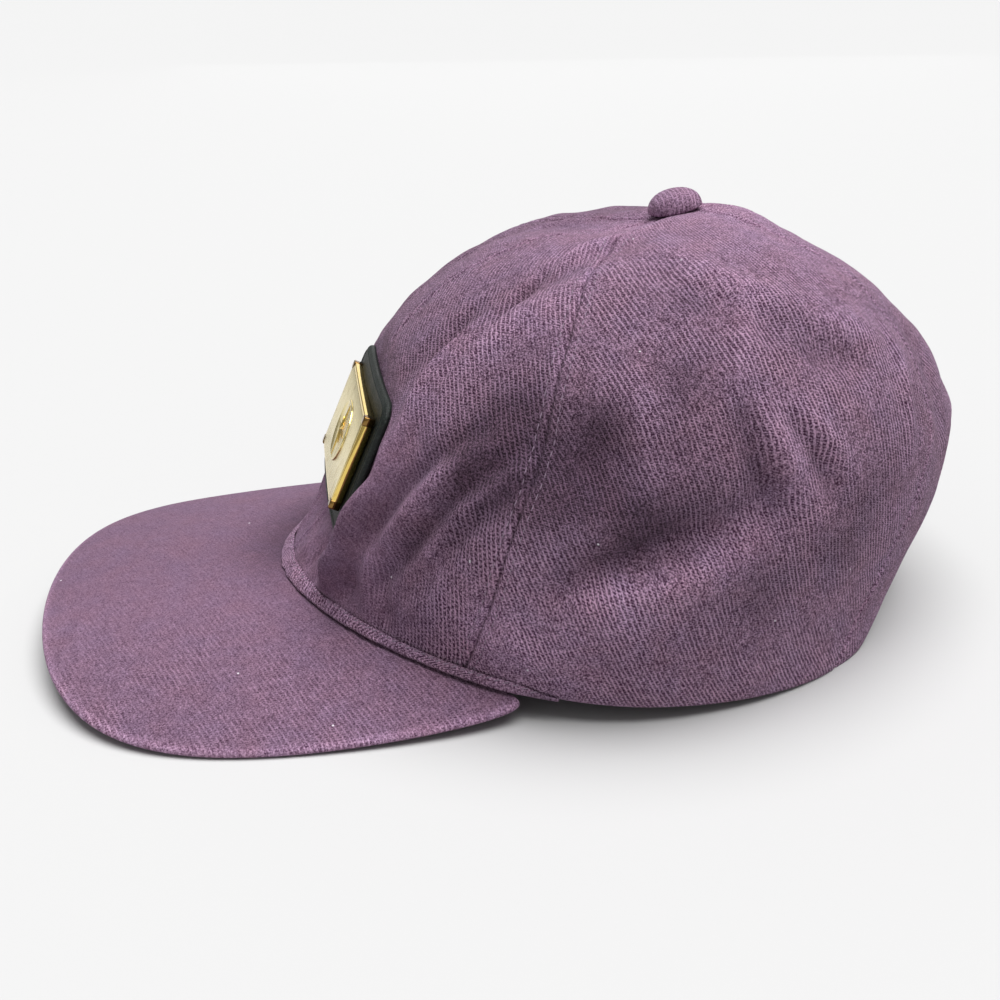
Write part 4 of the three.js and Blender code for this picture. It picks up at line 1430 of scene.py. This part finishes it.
@dataclass
class Peak:
    """The stiff covered peak: cloth over a board, with a thin rounded edge."""

    form: CrownForm
    wardrobe: Wardrobe
    turn: float = 64.0
    thick: float = 3.0
    edge_thick: float = 2.2
    edge_round: float = 1.6
    edge_tip: float = 0.3
    edge_taper: float = 6.0
    edge_crowding: float = 0.8
    camber: float = 1.2
    length: float = 69.0
    corner_out: float = 1.5
    gap: float = 0.35
    edge_x: tuple[float, ...] = (86.4, 85.3, 94.2, 59.4, 0.0)
    edge_y: tuple[float, ...] = (-13.3, -124.8, -141.6, -167.0, -167.0)
    edge_z: tuple[float, ...] = (4.0, -1.0, -3.0, 8.7, 8.7)
    grain_deg: float = 114.0
    felt_from: float = 62.0
    felt_over: float = 55.0
    shade_from: float = 28.0
    shade_over: float = 40.0
    shade: float = 0.07
    crown_shade: float = 0.34
    crown_shade_width: float = 16.0
    usual_wear: float = 0.44
    edge_wear: float = 0.6
    edge_wear_width: float = 1.4
    felt: tuple[float, float] = (0.6, 0.9)
    wave: float = 0.12
    wave_length: float = 26.0
    wave_ease: float = 5.0
    seed: int = 41
    columns: int = 220
    rows: int = 110

    def build(self) -> None:
        """Builds the peak's cover as one closed piece, top and underside."""
        across = np.linspace(-1.0, 1.0, self.columns + 1)[None, :]
        t = 1 - 2 * crowded(2 * self.rows, self.edge_crowding)[: self.rows + 1, None]
        half = self.thick / 2
        flat = 0 * t
        inner = self.form.cloth_face(self.turn * across + flat, 0 * across + flat)
        inward = self.form.inward(self.turn * across + flat, 0 * across + flat)
        inner = inner + inward * self.form.cloth - np.array([0.0, 0.0, self.gap + half])
        corner_turn = np.array(self.turn)
        corner = self.form.offset_point(corner_turn, np.array(0.0), np.array(self.corner_out))
        corner = corner - np.array([0.0, 0.0, self.gap + half])
        along = 1 - np.abs(across)
        outer = np.stack([
            np.sign(across) * bezier((corner[0], *self.edge_x), along),
            bezier((corner[1], *self.edge_y), along),
            bezier((corner[2], *self.edge_z), along),
        ], axis=-1)
        reach = np.linalg.norm(outer - inner, axis=-1)
        middle = blend(inner, outer, t[..., None])
        middle[..., 2] += 4 * self.camber * (reach / self.length) ** 2 * t * (1 - t)
        to_edge = (1 - t) * reach
        body = blend(self.edge_thick, self.thick, smooth(to_edge / self.edge_taper)) / 2
        tip = np.sqrt(np.clip(1 - (1 - np.clip(to_edge / self.edge_round, 0, 1)) ** 2, 0, 1))
        half_here = np.maximum(self.edge_tip / 2, body * tip)
        waves = self.wave * ripple(middle, self.wave_length, self.seed)
        relief = waves * smooth(to_edge / self.wave_ease)
        upwards = np.array([0.0, 0.0, 1.0])
        top = middle + upwards * (half_here + relief)[..., None]
        under = middle - upwards * half_here[..., None]
        under[..., 2] = np.maximum(under[..., 2], 0.0)
        top[..., 2] = np.maximum(top[..., 2], under[..., 2] + self.edge_tip)
        shaded = smooth((self.shade_from - middle[..., 0]) / self.shade_over)
        shade = self.shade + self.crown_shade * bell(t * reach, self.crown_shade_width)
        # Paler along the edge: partly a rubbed edge, partly painted light on the edge's shaded side face
        edge_wear = self.edge_wear * bell(to_edge, self.edge_wear_width)
        wear = self.usual_wear + edge_wear - shaded * shade
        # The rows are turned round, so that the top face points up
        top, under, middle, wear = (grid[::-1] for grid in (top, under, middle, wear))
        cloth = self.lay_flat(middle)
        felt = blend(*self.felt, smooth((self.felt_from - middle[..., 0]) / self.felt_over))
        piece = cloth_piece("peak_cover", top, under, cloth, wear, felt)
        self.wardrobe.dress(piece, self.wardrobe.twill, "twill", ["peak"])

    def lay_flat(self, middle: Array) -> Array:
        """The peak's cloth is nearly flat, so its pattern is laid on from above."""
        grain = math.radians(self.grain_deg)
        x, y = middle[..., 0], middle[..., 1]
        across = x * math.cos(grain) + y * math.sin(grain)
        along = -x * math.sin(grain) + y * math.cos(grain)
        return np.stack([across, along], axis=-1) * MM


@dataclass
class PeakBinding:
    """The narrow folded strip over the seam between crown and peak, with its row of stitches."""

    form: CrownForm
    wardrobe: Wardrobe
    turn: float = 74.0
    taper: float = 8.0
    height: float = 3.2
    thick: float = 1.1
    foot_out: float = 1.45
    head_out: float = 0.35
    tip: float = 0.3
    off: float = 0.35
    lip: float = 0.25
    nub: float = 0.12
    nub_length: float = 3.6
    seed: int = 61
    stitch_row: int = 14
    stitch_margin: float = 3.0
    columns: int = 420
    rows: int = 16
    grain_deg: float = 35.0

    def build(self) -> None:
        """Builds the strip and the stitches along its upper edge."""
        turn = self.turn * np.linspace(-1.0, 1.0, self.columns + 1)[None, :]
        up = np.linspace(0.0, 1.0, self.rows + 1)[:, None]
        full = blend(self.tip, 1.0, smooth((self.turn - np.abs(turn)) / self.taper))
        bottom = self.form.plain(turn, 0 * turn)[..., 2]
        turns = turn + 0 * up
        level = bottom + blend(0.01, 1.0, up) * self.height * full
        rise = self.form.rise_at_height(turns, level)
        rounded = np.clip(1 - np.abs(2 * up - 1) ** 7, 0.0, 1.0) ** 0.5
        lean = blend(self.foot_out, self.head_out, up)
        nubs = self.nub * ripple(self.form.plain(turns, rise), self.nub_length, self.seed)
        out = self.off + full * blend(self.lip, lean * self.thick, rounded) + nubs * rounded
        face = self.form.offset_point(turns, rise, out)
        back = self.form.offset_point(turns, rise, self.off + 0 * out)
        cloth = flat_cloth(face, self.grain_deg)
        wear = 0.7 + 0.15 * rounded + 0.3 * bell(up - 0.85, 0.16) + 0 * turns
        piece = cloth_piece("binding_tape", face, back, cloth, wear)
        self.wardrobe.dress(piece, self.wardrobe.twill, "twill", ["peak_binding"])

        line = face[self.stitch_row]
        normals = grid_normals(face)[self.stitch_row]
        keep = np.abs(turn[0]) < self.turn - self.stitch_margin
        row = StitchRow(
            "stitches_binding", line[keep], normals[keep], pitch=2.4, thick=0.4, slant_deg=24.0,
        ).build()
        self.wardrobe.dress(row, self.wardrobe.thread, "twill")


@dataclass
class TopButton:
    """The cloth-covered button on the apex: a low dome on a short stem."""

    wardrobe: Wardrobe
    radius: float = 7.7
    height: float = 5.9
    wall: float = 0.12
    round_power: float = 0.8
    base_radius: float = 0.86
    stem_radius: float = 2.6
    stem_length: float = 5.0
    base_z: float = 110.2
    tilt_deg: float = -12.0
    sides: int = 72
    dome_steps: int = 18
    gathers: int = 15
    gather_depth: float = 0.22
    gathered_part: float = 0.75
    faded: float = 0.78
    felted: float = 0.6

    def build(self) -> None:
        """Spins the button's profile, gathers its edge and sets it on the crown."""
        bm = bmesh.new()
        profile = [(0.0, -self.stem_length), (self.stem_radius, -self.stem_length),
                   (self.stem_radius, 0.0), (self.radius * self.base_radius * 0.8, 0.0),
                   (self.radius * self.base_radius, 0.15)]
        for i in range(self.dome_steps):
            angle = math.radians(90 * i / self.dome_steps)
            out = self.radius * math.cos(angle) ** self.round_power
            profile.append((out, self.height * blend(self.wall, 1.0, math.sin(angle))))
        profile.append((0.0, self.height))
        verts = [bm.verts.new((x, 0.0, z)) for x, z in profile]
        edges = [bm.edges.new(pair) for pair in zip(verts, verts[1:])]
        bmesh.ops.spin(bm, geom=verts + edges, cent=(0, 0, 0), axis=(0, 0, 1),
                       angle=2 * math.pi, steps=self.sides, use_merge=True)
        bmesh.ops.remove_doubles(bm, verts=bm.verts, dist=0.001)
        bmesh.ops.recalc_face_normals(bm, faces=bm.faces[:])
        for vert in bm.verts:
            reach = math.hypot(vert.co.x, vert.co.y)
            if reach > self.stem_radius and vert.co.z >= 0:
                low = 1 - min(1.0, vert.co.z / (self.gathered_part * self.height))
                angle = math.atan2(vert.co.y, vert.co.x)
                wave = math.cos(self.gathers * angle + 1.7 * math.sin(3 * angle))
                pull = 1 - self.gather_depth * low * (1 + wave) / 2 / self.radius
                vert.co.x *= pull
                vert.co.y *= pull
        turn = Matrix.Rotation(math.radians(-self.tilt_deg), 4, "X")
        place = Matrix.Translation((0.0, SECTIONS[-1].front_y, self.base_z))
        bmesh.ops.transform(bm, matrix=place @ turn, verts=bm.verts)
        piece = object_from("button_cover", bm)
        self.map_from_above(piece)
        self.wardrobe.dress(piece, self.wardrobe.twill, "twill", ["top_button"])

    def map_from_above(self, piece: bpy.types.Object) -> None:
        """The cover is drawn down over the dome, so its weave is laid on from above."""
        flat = vertex_places(piece.data)[:, [1, 0]]
        even = np.ones(len(flat))
        lay_weave(piece.data, flat, self.faded * even, self.felted * even)


@dataclass
class Plaque:
    """A flat piece with rounded corners whose face is shaped in steps, bent onto the badge seat.

    Each step insets the face and then lifts it, in millimetres.
    """

    name: str
    seat: BadgeSeat
    width: float
    height: float
    corner: float
    thick: float
    face: float
    bend: float
    steps: tuple[tuple[float, float], ...]
    slant: float = 0.0
    across: float = 0.0
    up: float = 0.0
    cuts: int = 24
    corner_sides: int = 8

    def build(self) -> bpy.types.Object:
        """Rounds a plate's corners, extrudes it, shapes its face step by step and bends it."""
        bm = bmesh.new()
        bmesh.ops.create_grid(bm, x_segments=1, y_segments=1, size=0.5)
        bmesh.ops.scale(bm, verts=bm.verts, vec=(self.width, self.height, 1.0))
        bmesh.ops.bevel(bm, geom=bm.verts[:], offset=self.corner, segments=self.corner_sides,
                        profile=0.5, affect="VERTICES", material=-1)
        bmesh.ops.translate(bm, verts=bm.verts, vec=(0.0, 0.0, -self.thick))
        base = max(bm.faces, key=lambda item: item.calc_area())
        made = bmesh.ops.extrude_face_region(bm, geom=[base], use_keep_orig=True)
        face = next(item for item in made["geom"] if isinstance(item, bmesh.types.BMFace))
        start = sum(depth for _, depth in self.steps)
        bmesh.ops.translate(bm, verts=face.verts[:], vec=(0.0, 0.0, self.thick - start))
        if face.normal.z < 0:
            face.normal_flip()
        for inset, depth in self.steps:
            bmesh.ops.inset_region(bm, faces=[face], thickness=inset, use_even_offset=True)
            bmesh.ops.translate(bm, verts=face.verts[:], vec=(0.0, 0.0, depth))
        bmesh.ops.recalc_face_normals(bm, faces=bm.faces[:])
        for k in range(1, self.cuts):
            x = self.width * (k / self.cuts - 0.5)
            geom = bm.verts[:] + bm.edges[:] + bm.faces[:]
            bmesh.ops.bisect_plane(bm, geom=geom, plane_co=(x, 0, 0), plane_no=(1, 0, 0))
        for vert in bm.verts:
            place = (vert.co.x + self.across, vert.co.y + self.up, vert.co.z + self.face)
            vert.co = self.seat.place(np.array(place), self.bend, self.slant)
        return object_from(self.name, bm)


@dataclass
class Badge:
    """The badge: a padded leather patch and a struck gold plate with a plain star ornament."""

    seat: BadgeSeat
    wardrobe: Wardrobe
    plate_width: float = 53.6
    plate_height: float = 27.4
    plate_corner: float = 0.9
    leather_corner: float = 6.0
    cap_width: float = 2.9
    cap_height: float = 2.6
    cap_proud: float = 0.3
    cap_overhang: float = 0.2
    inlay_border: float = 0.9
    field_width: float = 21.0
    field_height: float = 17.0
    field_corner: float = 8.3
    star_points: int = 8
    star_long: float = 8.0
    star_short: float = 4.4
    star_waist: float = 1.9
    star_height: float = 0.5
    star_depth: float = 0.35

    def build(self) -> None:
        """Builds the leather, the plate and the raised ornament on the plate."""
        seat = self.seat
        leather = Plaque(
            "badge_leather_patch", seat, seat.leather_width, seat.leather_height,
            self.leather_corner, seat.leather_thick, seat.leather_face, seat.leather_bend,
            steps=((0.3, 0.5), (0.5, 0.3), (0.6, 0.1), (0.2, 0.0), (0.15, 0.2), (0.2, 0.0),
                   (0.15, -0.2), (0.8, 0.0)),
        ).build()
        self.wardrobe.dress(leather, self.wardrobe.leather, "badge_leather", ["badge_backing"])
        self.struck(
            "badge_gold_plate",
            (self.plate_width, self.plate_height, self.plate_corner, seat.plate_thick),
            0.0, self.wardrobe.gold, ["badge_plate"], steps=((0.25, 0.2), (0.35, 0.05)),
        )
        self.struck(
            "badge_face_inlay",
            (self.plate_width - 2 * self.inlay_border, self.plate_height - 2 * self.inlay_border,
             0.8, 0.5),
            0.14, self.wardrobe.champagne, steps=((0.2, 0.14),),
        )
        self.corner_caps()
        self.struck(
            "badge_ring", (self.field_width, self.field_height, self.field_corner, 0.5),
            0.4, self.wardrobe.champagne, steps=((0.2, 0.16), (0.35, 0.0), (0.2, -0.16)),
            cuts=12, corner_sides=12,
        )
        self.wardrobe.dress(self.star(), self.wardrobe.gold, "gold_metal")

    def struck(
        self,
        name: str,
        size: tuple[float, float, float, float],
        proud: float,
        material: bpy.types.Material,
        stands_for: Sequence[str] = (),
        corner_sides: int = 3,
        **more: Any,
    ) -> None:
        """Builds and dresses one struck part, which is bent and slanted as the plate is.

        Args:
            name: The piece's name.
            size: Its width, height, corner radius and thickness.
            proud: How far its face stands in front of the plate's.
            material: Its finish.
            stands_for: The CAD nodes that it replaces.
            corner_sides: The number of flats around a corner.
            more: The plaque's other fields.
        """
        part = Plaque(
            name, self.seat, *size, self.seat.plate_face + proud, self.seat.plate_bend,
            slant=self.seat.plate_slant, corner_sides=corner_sides, **more,
        ).build()
        self.wardrobe.dress(part, material, "gold_metal", stands_for)

    def corner_caps(self) -> None:
        """Four small folded caps that hold the plate's corners."""
        out_x = (self.plate_width - self.cap_width) / 2 + self.cap_overhang
        out_y = (self.plate_height - self.cap_height) / 2 + self.cap_overhang
        thick = self.seat.plate_thick + self.cap_proud
        for index, (x, y) in enumerate(((1, 1), (-1, 1), (-1, -1), (1, -1))):
            self.struck(
                f"badge_corner_{index + 1}", (self.cap_width, self.cap_height, 0.5, thick),
                self.cap_proud, self.wardrobe.darkened, steps=((0.25, 0.22), (0.35, 0.08)),
                across=x * out_x, up=y * out_y, cuts=2,
            )

    def star(self) -> bpy.types.Object:
        """A faceted star: its points fall from a raised middle to the plate."""
        bm = bmesh.new()
        count = self.star_points * 2
        bmesh.ops.create_circle(bm, segments=count, radius=1.0, cap_ends=True)
        for i, vert in enumerate(sorted(bm.verts, key=lambda v: math.atan2(v.co.y, v.co.x))):
            tip = self.star_long if i % 4 == 3 else self.star_short
            reach = tip if i % 2 == 1 else self.star_waist
            vert.co = vert.co.normalized() * reach
        base = bm.faces[:][0]
        extrude_back(bm, [base], self.star_depth)
        bmesh.ops.poke(bm, faces=[base])
        top = max(bm.verts, key=lambda v: (v.co.z, -v.co.xy.length))
        top.co.z += self.star_height
        bmesh.ops.recalc_face_normals(bm, faces=bm.faces[:])
        for vert in bm.verts:
            local = np.array([vert.co.x, vert.co.y, vert.co.z + self.seat.plate_face + 0.5])
            vert.co = self.seat.place(local, self.seat.plate_bend, self.seat.plate_slant)
        piece = object_from("badge_star", bm)
        piece.data.shade_flat()
        return piece


@dataclass
class StrapAndSlide:
    """The cloth strap across the arch and the metal slide that it passes through."""

    form: CrownForm
    wardrobe: Wardrobe
    turn: float = 123.0
    width: float = 18.0
    thick: float = 2.0
    bottom_end: float = 1.0
    bottom_middle: float = 3.4
    clear_by: float = 149.0
    clear_over: float = 12.0
    behind_cloth: float = 0.6
    proud: float = -0.5
    gap: float = 0.35
    crowding: float = 0.35
    edge_share: float = 0.1
    edge_flat: float = 0.03
    stitch_row: int = 3
    channel_depth: float = 0.12
    channel_place: float = 0.72
    channel_width: float = 0.45
    grain_deg: float = 20.0
    slide_width: float = 27.0
    slide_rail: float = 2.2
    slide_bar: float = 3.0
    slide_thick: float = 1.4
    slide_side: float = 1.0
    slide_ease: float = 12.0
    columns: int = 260
    rows: int = 24

    def __post_init__(self) -> None:
        """Works out where the slide sits: the middle of the strap on the back centre line."""
        height = self.bottom_middle + self.width / 2
        rise = self.form.rise_at_height(np.array(180.0), np.array(height))
        self.centre = self.form.plain(np.array(180.0), rise)
        self.out = self.form.normal(np.array(180.0), rise)
        self.across = np.array([-1.0, 0.0, 0.0])
        self.up = np.cross(self.out, self.across)
        self.slot_width = (self.slide_width - 3 * self.slide_bar) / 2

    def through_slide(self, across: Array, up: Array, out: Array) -> Array:
        """Through the slide the strap lies flat: behind the frame's sides and over its middle bar."""
        clear = self.slide_thick / 2 + self.gap + self.thick / 2
        past_bar = (np.abs(across) - self.slide_bar / 2 - self.gap) / (self.slot_width - 2 * self.gap)
        height = (up * self.width - self.width / 2)[..., None]
        offset = (blend(-clear, clear, 1 - smooth(past_bar)) + out)[..., None]
        point = self.centre + self.up * height + self.out * offset
        return point + across[..., None] * np.array([1.0, 0.0, 0.0])

    def layer(self, side: float) -> Array:
        """One face of the strap: its outer face for side 1 and its inner face for side -1."""
        even = np.linspace(-1.0, 1.0, self.columns + 1)[None, :]
        up = np.linspace(0.0, 1.0, self.rows + 1)[:, None]
        from_middle = even * blend(self.crowding, 1.0, np.abs(even))
        turn = 180 + (180 - self.turn) * from_middle
        near = np.minimum(turn, 360 - turn)
        bottom = blend(
            self.bottom_end, self.bottom_middle, smooth((near - self.turn) / (180 - self.turn))
        )
        inside = -(self.form.cloth + self.behind_cloth + self.thick / 2)
        offset = blend(inside, self.proud, smooth((near - self.clear_by) / self.clear_over))
        aside = np.abs(2 * up - 1)
        past_flat = np.clip((aside - 1 + self.edge_share) / self.edge_share, 0, 1)
        half = self.thick / 2 * np.sqrt(np.clip(1 - past_flat**2, self.edge_flat, 1))
        to_channel = (aside - self.channel_place) * self.width / 2
        channel = -self.channel_depth * bell(to_channel, self.channel_width)
        out = side * (half + channel * (side > 0)) + 0 * turn
        turns = turn + 0 * up
        rise = self.form.rise_at_height(turns, bottom + up * self.width)
        curved = self.form.plain(turns, rise)
        curved = curved + self.form.normal(turns, rise) * (offset + out)[..., None]
        across = np.radians(180 - turns) * self.centre[1]
        past = (np.abs(across) - self.slide_width / 2 - self.gap) / self.slide_ease
        flat = (1 - smooth(past))[..., None]
        return blend(curved, self.through_slide(across, up + 0 * turn, out), flat)

    def build(self) -> None:
        """Builds the strap, its two rows of stitches and the slide."""
        face, back = self.layer(1.0), self.layer(-1.0)
        edge = np.abs(np.linspace(-1.0, 1.0, self.rows + 1))[:, None]
        wear = 0.5 + 0.3 * smooth((edge - 0.85) / 0.15) + 0 * face[..., 0]
        cloth = flat_cloth(face, self.grain_deg)
        piece = cloth_piece("strap_band", face, back, cloth, wear)
        self.wardrobe.dress(piece, self.wardrobe.twill, "twill", ["strap"])
        normals = grid_normals(face)
        for name, row in (("lower", self.stitch_row), ("upper", self.rows - self.stitch_row)):
            stitches = StitchRow(f"stitches_strap_{name}", face[row], normals[row]).build()
            self.wardrobe.dress(stitches, self.wardrobe.thread, "twill")
        self.wardrobe.dress(self.slide(), self.wardrobe.nickel, "nickel_metal", ["strap_slide"])

    def slide(self) -> bpy.types.Object:
        """A flat frame with a middle bar: a grid of cells with two left out, extruded and rounded."""
        bm = bmesh.new()
        bmesh.ops.create_grid(bm, x_segments=5, y_segments=3, size=0.5)
        half_bar = self.slide_bar / 2
        slot_high = self.width / 2 + self.slide_side
        columns = (-self.slide_width / 2, -self.slide_width / 2 + self.slide_bar, -half_bar,
                   half_bar, self.slide_width / 2 - self.slide_bar, self.slide_width / 2)
        rows = (-slot_high - self.slide_rail, -slot_high, slot_high, slot_high + self.slide_rail)
        for vert in bm.verts:
            vert.co.x = columns[round((vert.co.x + 0.5) * 5)]
            vert.co.y = rows[round((vert.co.y + 0.5) * 3)]
        slots = [face for face in bm.faces if self.is_slot(face.calc_center_median())]
        bmesh.ops.delete(bm, geom=slots, context="FACES")
        extrude_back(bm, bm.faces[:], self.slide_thick)
        bmesh.ops.translate(bm, verts=bm.verts, vec=(0.0, 0.0, self.slide_thick / 2))
        sharp = [edge for edge in bm.edges if edge.calc_face_angle(0.0) > 0.5]
        bmesh.ops.bevel(bm, geom=sharp, offset=0.4, segments=3, profile=0.5, affect="EDGES",
                        material=-1)
        basis = Matrix((Vector(self.across), Vector(self.up), Vector(self.out))).transposed()
        place = Matrix.Translation(Vector(self.centre)) @ basis.to_4x4()
        bmesh.ops.transform(bm, matrix=place, verts=bm.verts)
        return object_from("slide_frame", bm)

    def is_slot(self, centre: Vector) -> bool:
        """Whether a cell of the slide is one of the two openings."""
        inside = abs(centre.y) < 1.0
        return inside and self.slide_bar / 2 < abs(centre.x) < self.slide_width / 2 - self.slide_bar


@dataclass
class Studio:
    """The plain pale floor, the soft lights and the camera."""

    camera_place: tuple[float, float, float] = (0.35253, -0.05576, 0.18017)
    azimuth_deg: float = 80.91
    elevation_deg: float = 23.27
    roll_deg: float = -1.12
    lens: float = 46.8
    floor_half: float = 30.0
    floor_colour: str = "#C6C6C6"
    room_strength: float = 0.3
    lamps: tuple[tuple[str, tuple[float, float, float], float, float], ...] = (
        ("overhead", (0.0, 0.18, 1.0), 58.0, 4.25),
    )
    cards: tuple[tuple[str, tuple[float, float, float], float, float], ...] = (
        ("card_far", (-1.7, 0.4, 0.5), 1.3, 5.5),
        ("card_near", (1.6, -0.5, 1.0), 1.3, 4.0),
    )
    card_target: tuple[float, float, float] = (0.0, 0.0, 0.06)

    def build(self) -> None:
        """Builds everything that isn't the cap."""
        self.floor()
        self.lights()
        self.camera()
        bpy.context.scene.view_settings.view_transform = "Standard"

    def floor(self) -> None:
        """A wide pale floor, marked as stage."""
        bm = bmesh.new()
        bmesh.ops.create_grid(bm, x_segments=1, y_segments=1, size=self.floor_half)
        floor = add_object("floor", mesh_from("floor", bm))
        material, shader = new_material("matt_white_board")
        shader.inputs["Base Color"].default_value = to_linear(self.floor_colour)
        shader.inputs["Roughness"].default_value = 1.0
        shader.inputs["Specular IOR Level"].default_value = 0.1
        floor.data.materials.append(material)
        floor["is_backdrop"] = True

    def lights(self) -> None:
        """A dim white room under one broad overhead light.

        The cards only stand for the bright walls that polished metal mirrors.
        """
        world = bpy.data.worlds.new("studio")
        world.use_nodes = True
        background = world.node_tree.nodes["Background"]
        background.inputs["Color"].default_value = (1.0, 1.0, 1.0, 1.0)
        background.inputs["Strength"].default_value = self.room_strength
        bpy.context.scene.world = world
        for name, source, width_deg, strength in self.lamps:
            lamp = self.light(name, "SUN", strength, -Vector(source))
            lamp.data.angle = math.radians(width_deg)
        for name, place, size, watts in self.cards:
            card = self.light(name, "AREA", watts, Vector(self.card_target) - Vector(place))
            card.data.size = size
            card.location = place
            card.visible_camera = False
            card.visible_diffuse = False

    def light(self, name: str, kind: str, energy: float, aim: Vector) -> bpy.types.Object:
        """Adds a light that shines along a direction."""
        data = bpy.data.lights.new(name, kind)
        data.energy = energy
        lamp = add_object(name, data)
        lamp.rotation_mode = "QUATERNION"
        lamp.rotation_quaternion = aim.to_track_quat("-Z", "Y")
        return lamp

    def camera(self) -> None:
        """Sets the camera at the photo's place and angle."""
        azimuth = math.radians(self.azimuth_deg)
        elevation = math.radians(self.elevation_deg)
        back = Vector((
            math.sin(azimuth) * math.cos(elevation),
            -math.cos(azimuth) * math.cos(elevation),
            math.sin(elevation),
        ))
        lens = bpy.data.cameras.new("camera")
        lens.lens = self.lens
        lens.sensor_width = 36.0
        lens.clip_start = 0.01
        camera = add_object("camera", lens)
        camera.location = self.camera_place
        camera.rotation_mode = "QUATERNION"
        level = (-back).to_track_quat("-Z", "Y")
        roll = Matrix.Rotation(math.radians(self.roll_deg), 3, "Z").to_quaternion()
        camera.rotation_quaternion = level @ roll
        bpy.context.scene.camera = camera


def main() -> None:
    """Builds the studio and each part of the cap."""
    logging.basicConfig(level=logging.INFO, format="%(name)s: %(message)s")
    cad_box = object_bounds()
    Studio().build()
    wardrobe = Wardrobe()
    form = CrownForm()
    Crown(form, wardrobe).build()
    Peak(form, wardrobe).build()
    PeakBinding(form, wardrobe).build()
    TopButton(wardrobe).build()
    Badge(form.seat, wardrobe).build()
    StrapAndSlide(form, wardrobe).build()
    boxes = {
        "cad": [list(corner) for corner in cad_box],
        "visual": [list(corner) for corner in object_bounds()],
    }
    for name, corners in boxes.items():
        log.info("%s box: %s", name, corners)


if __name__ == "__main__":
    main()
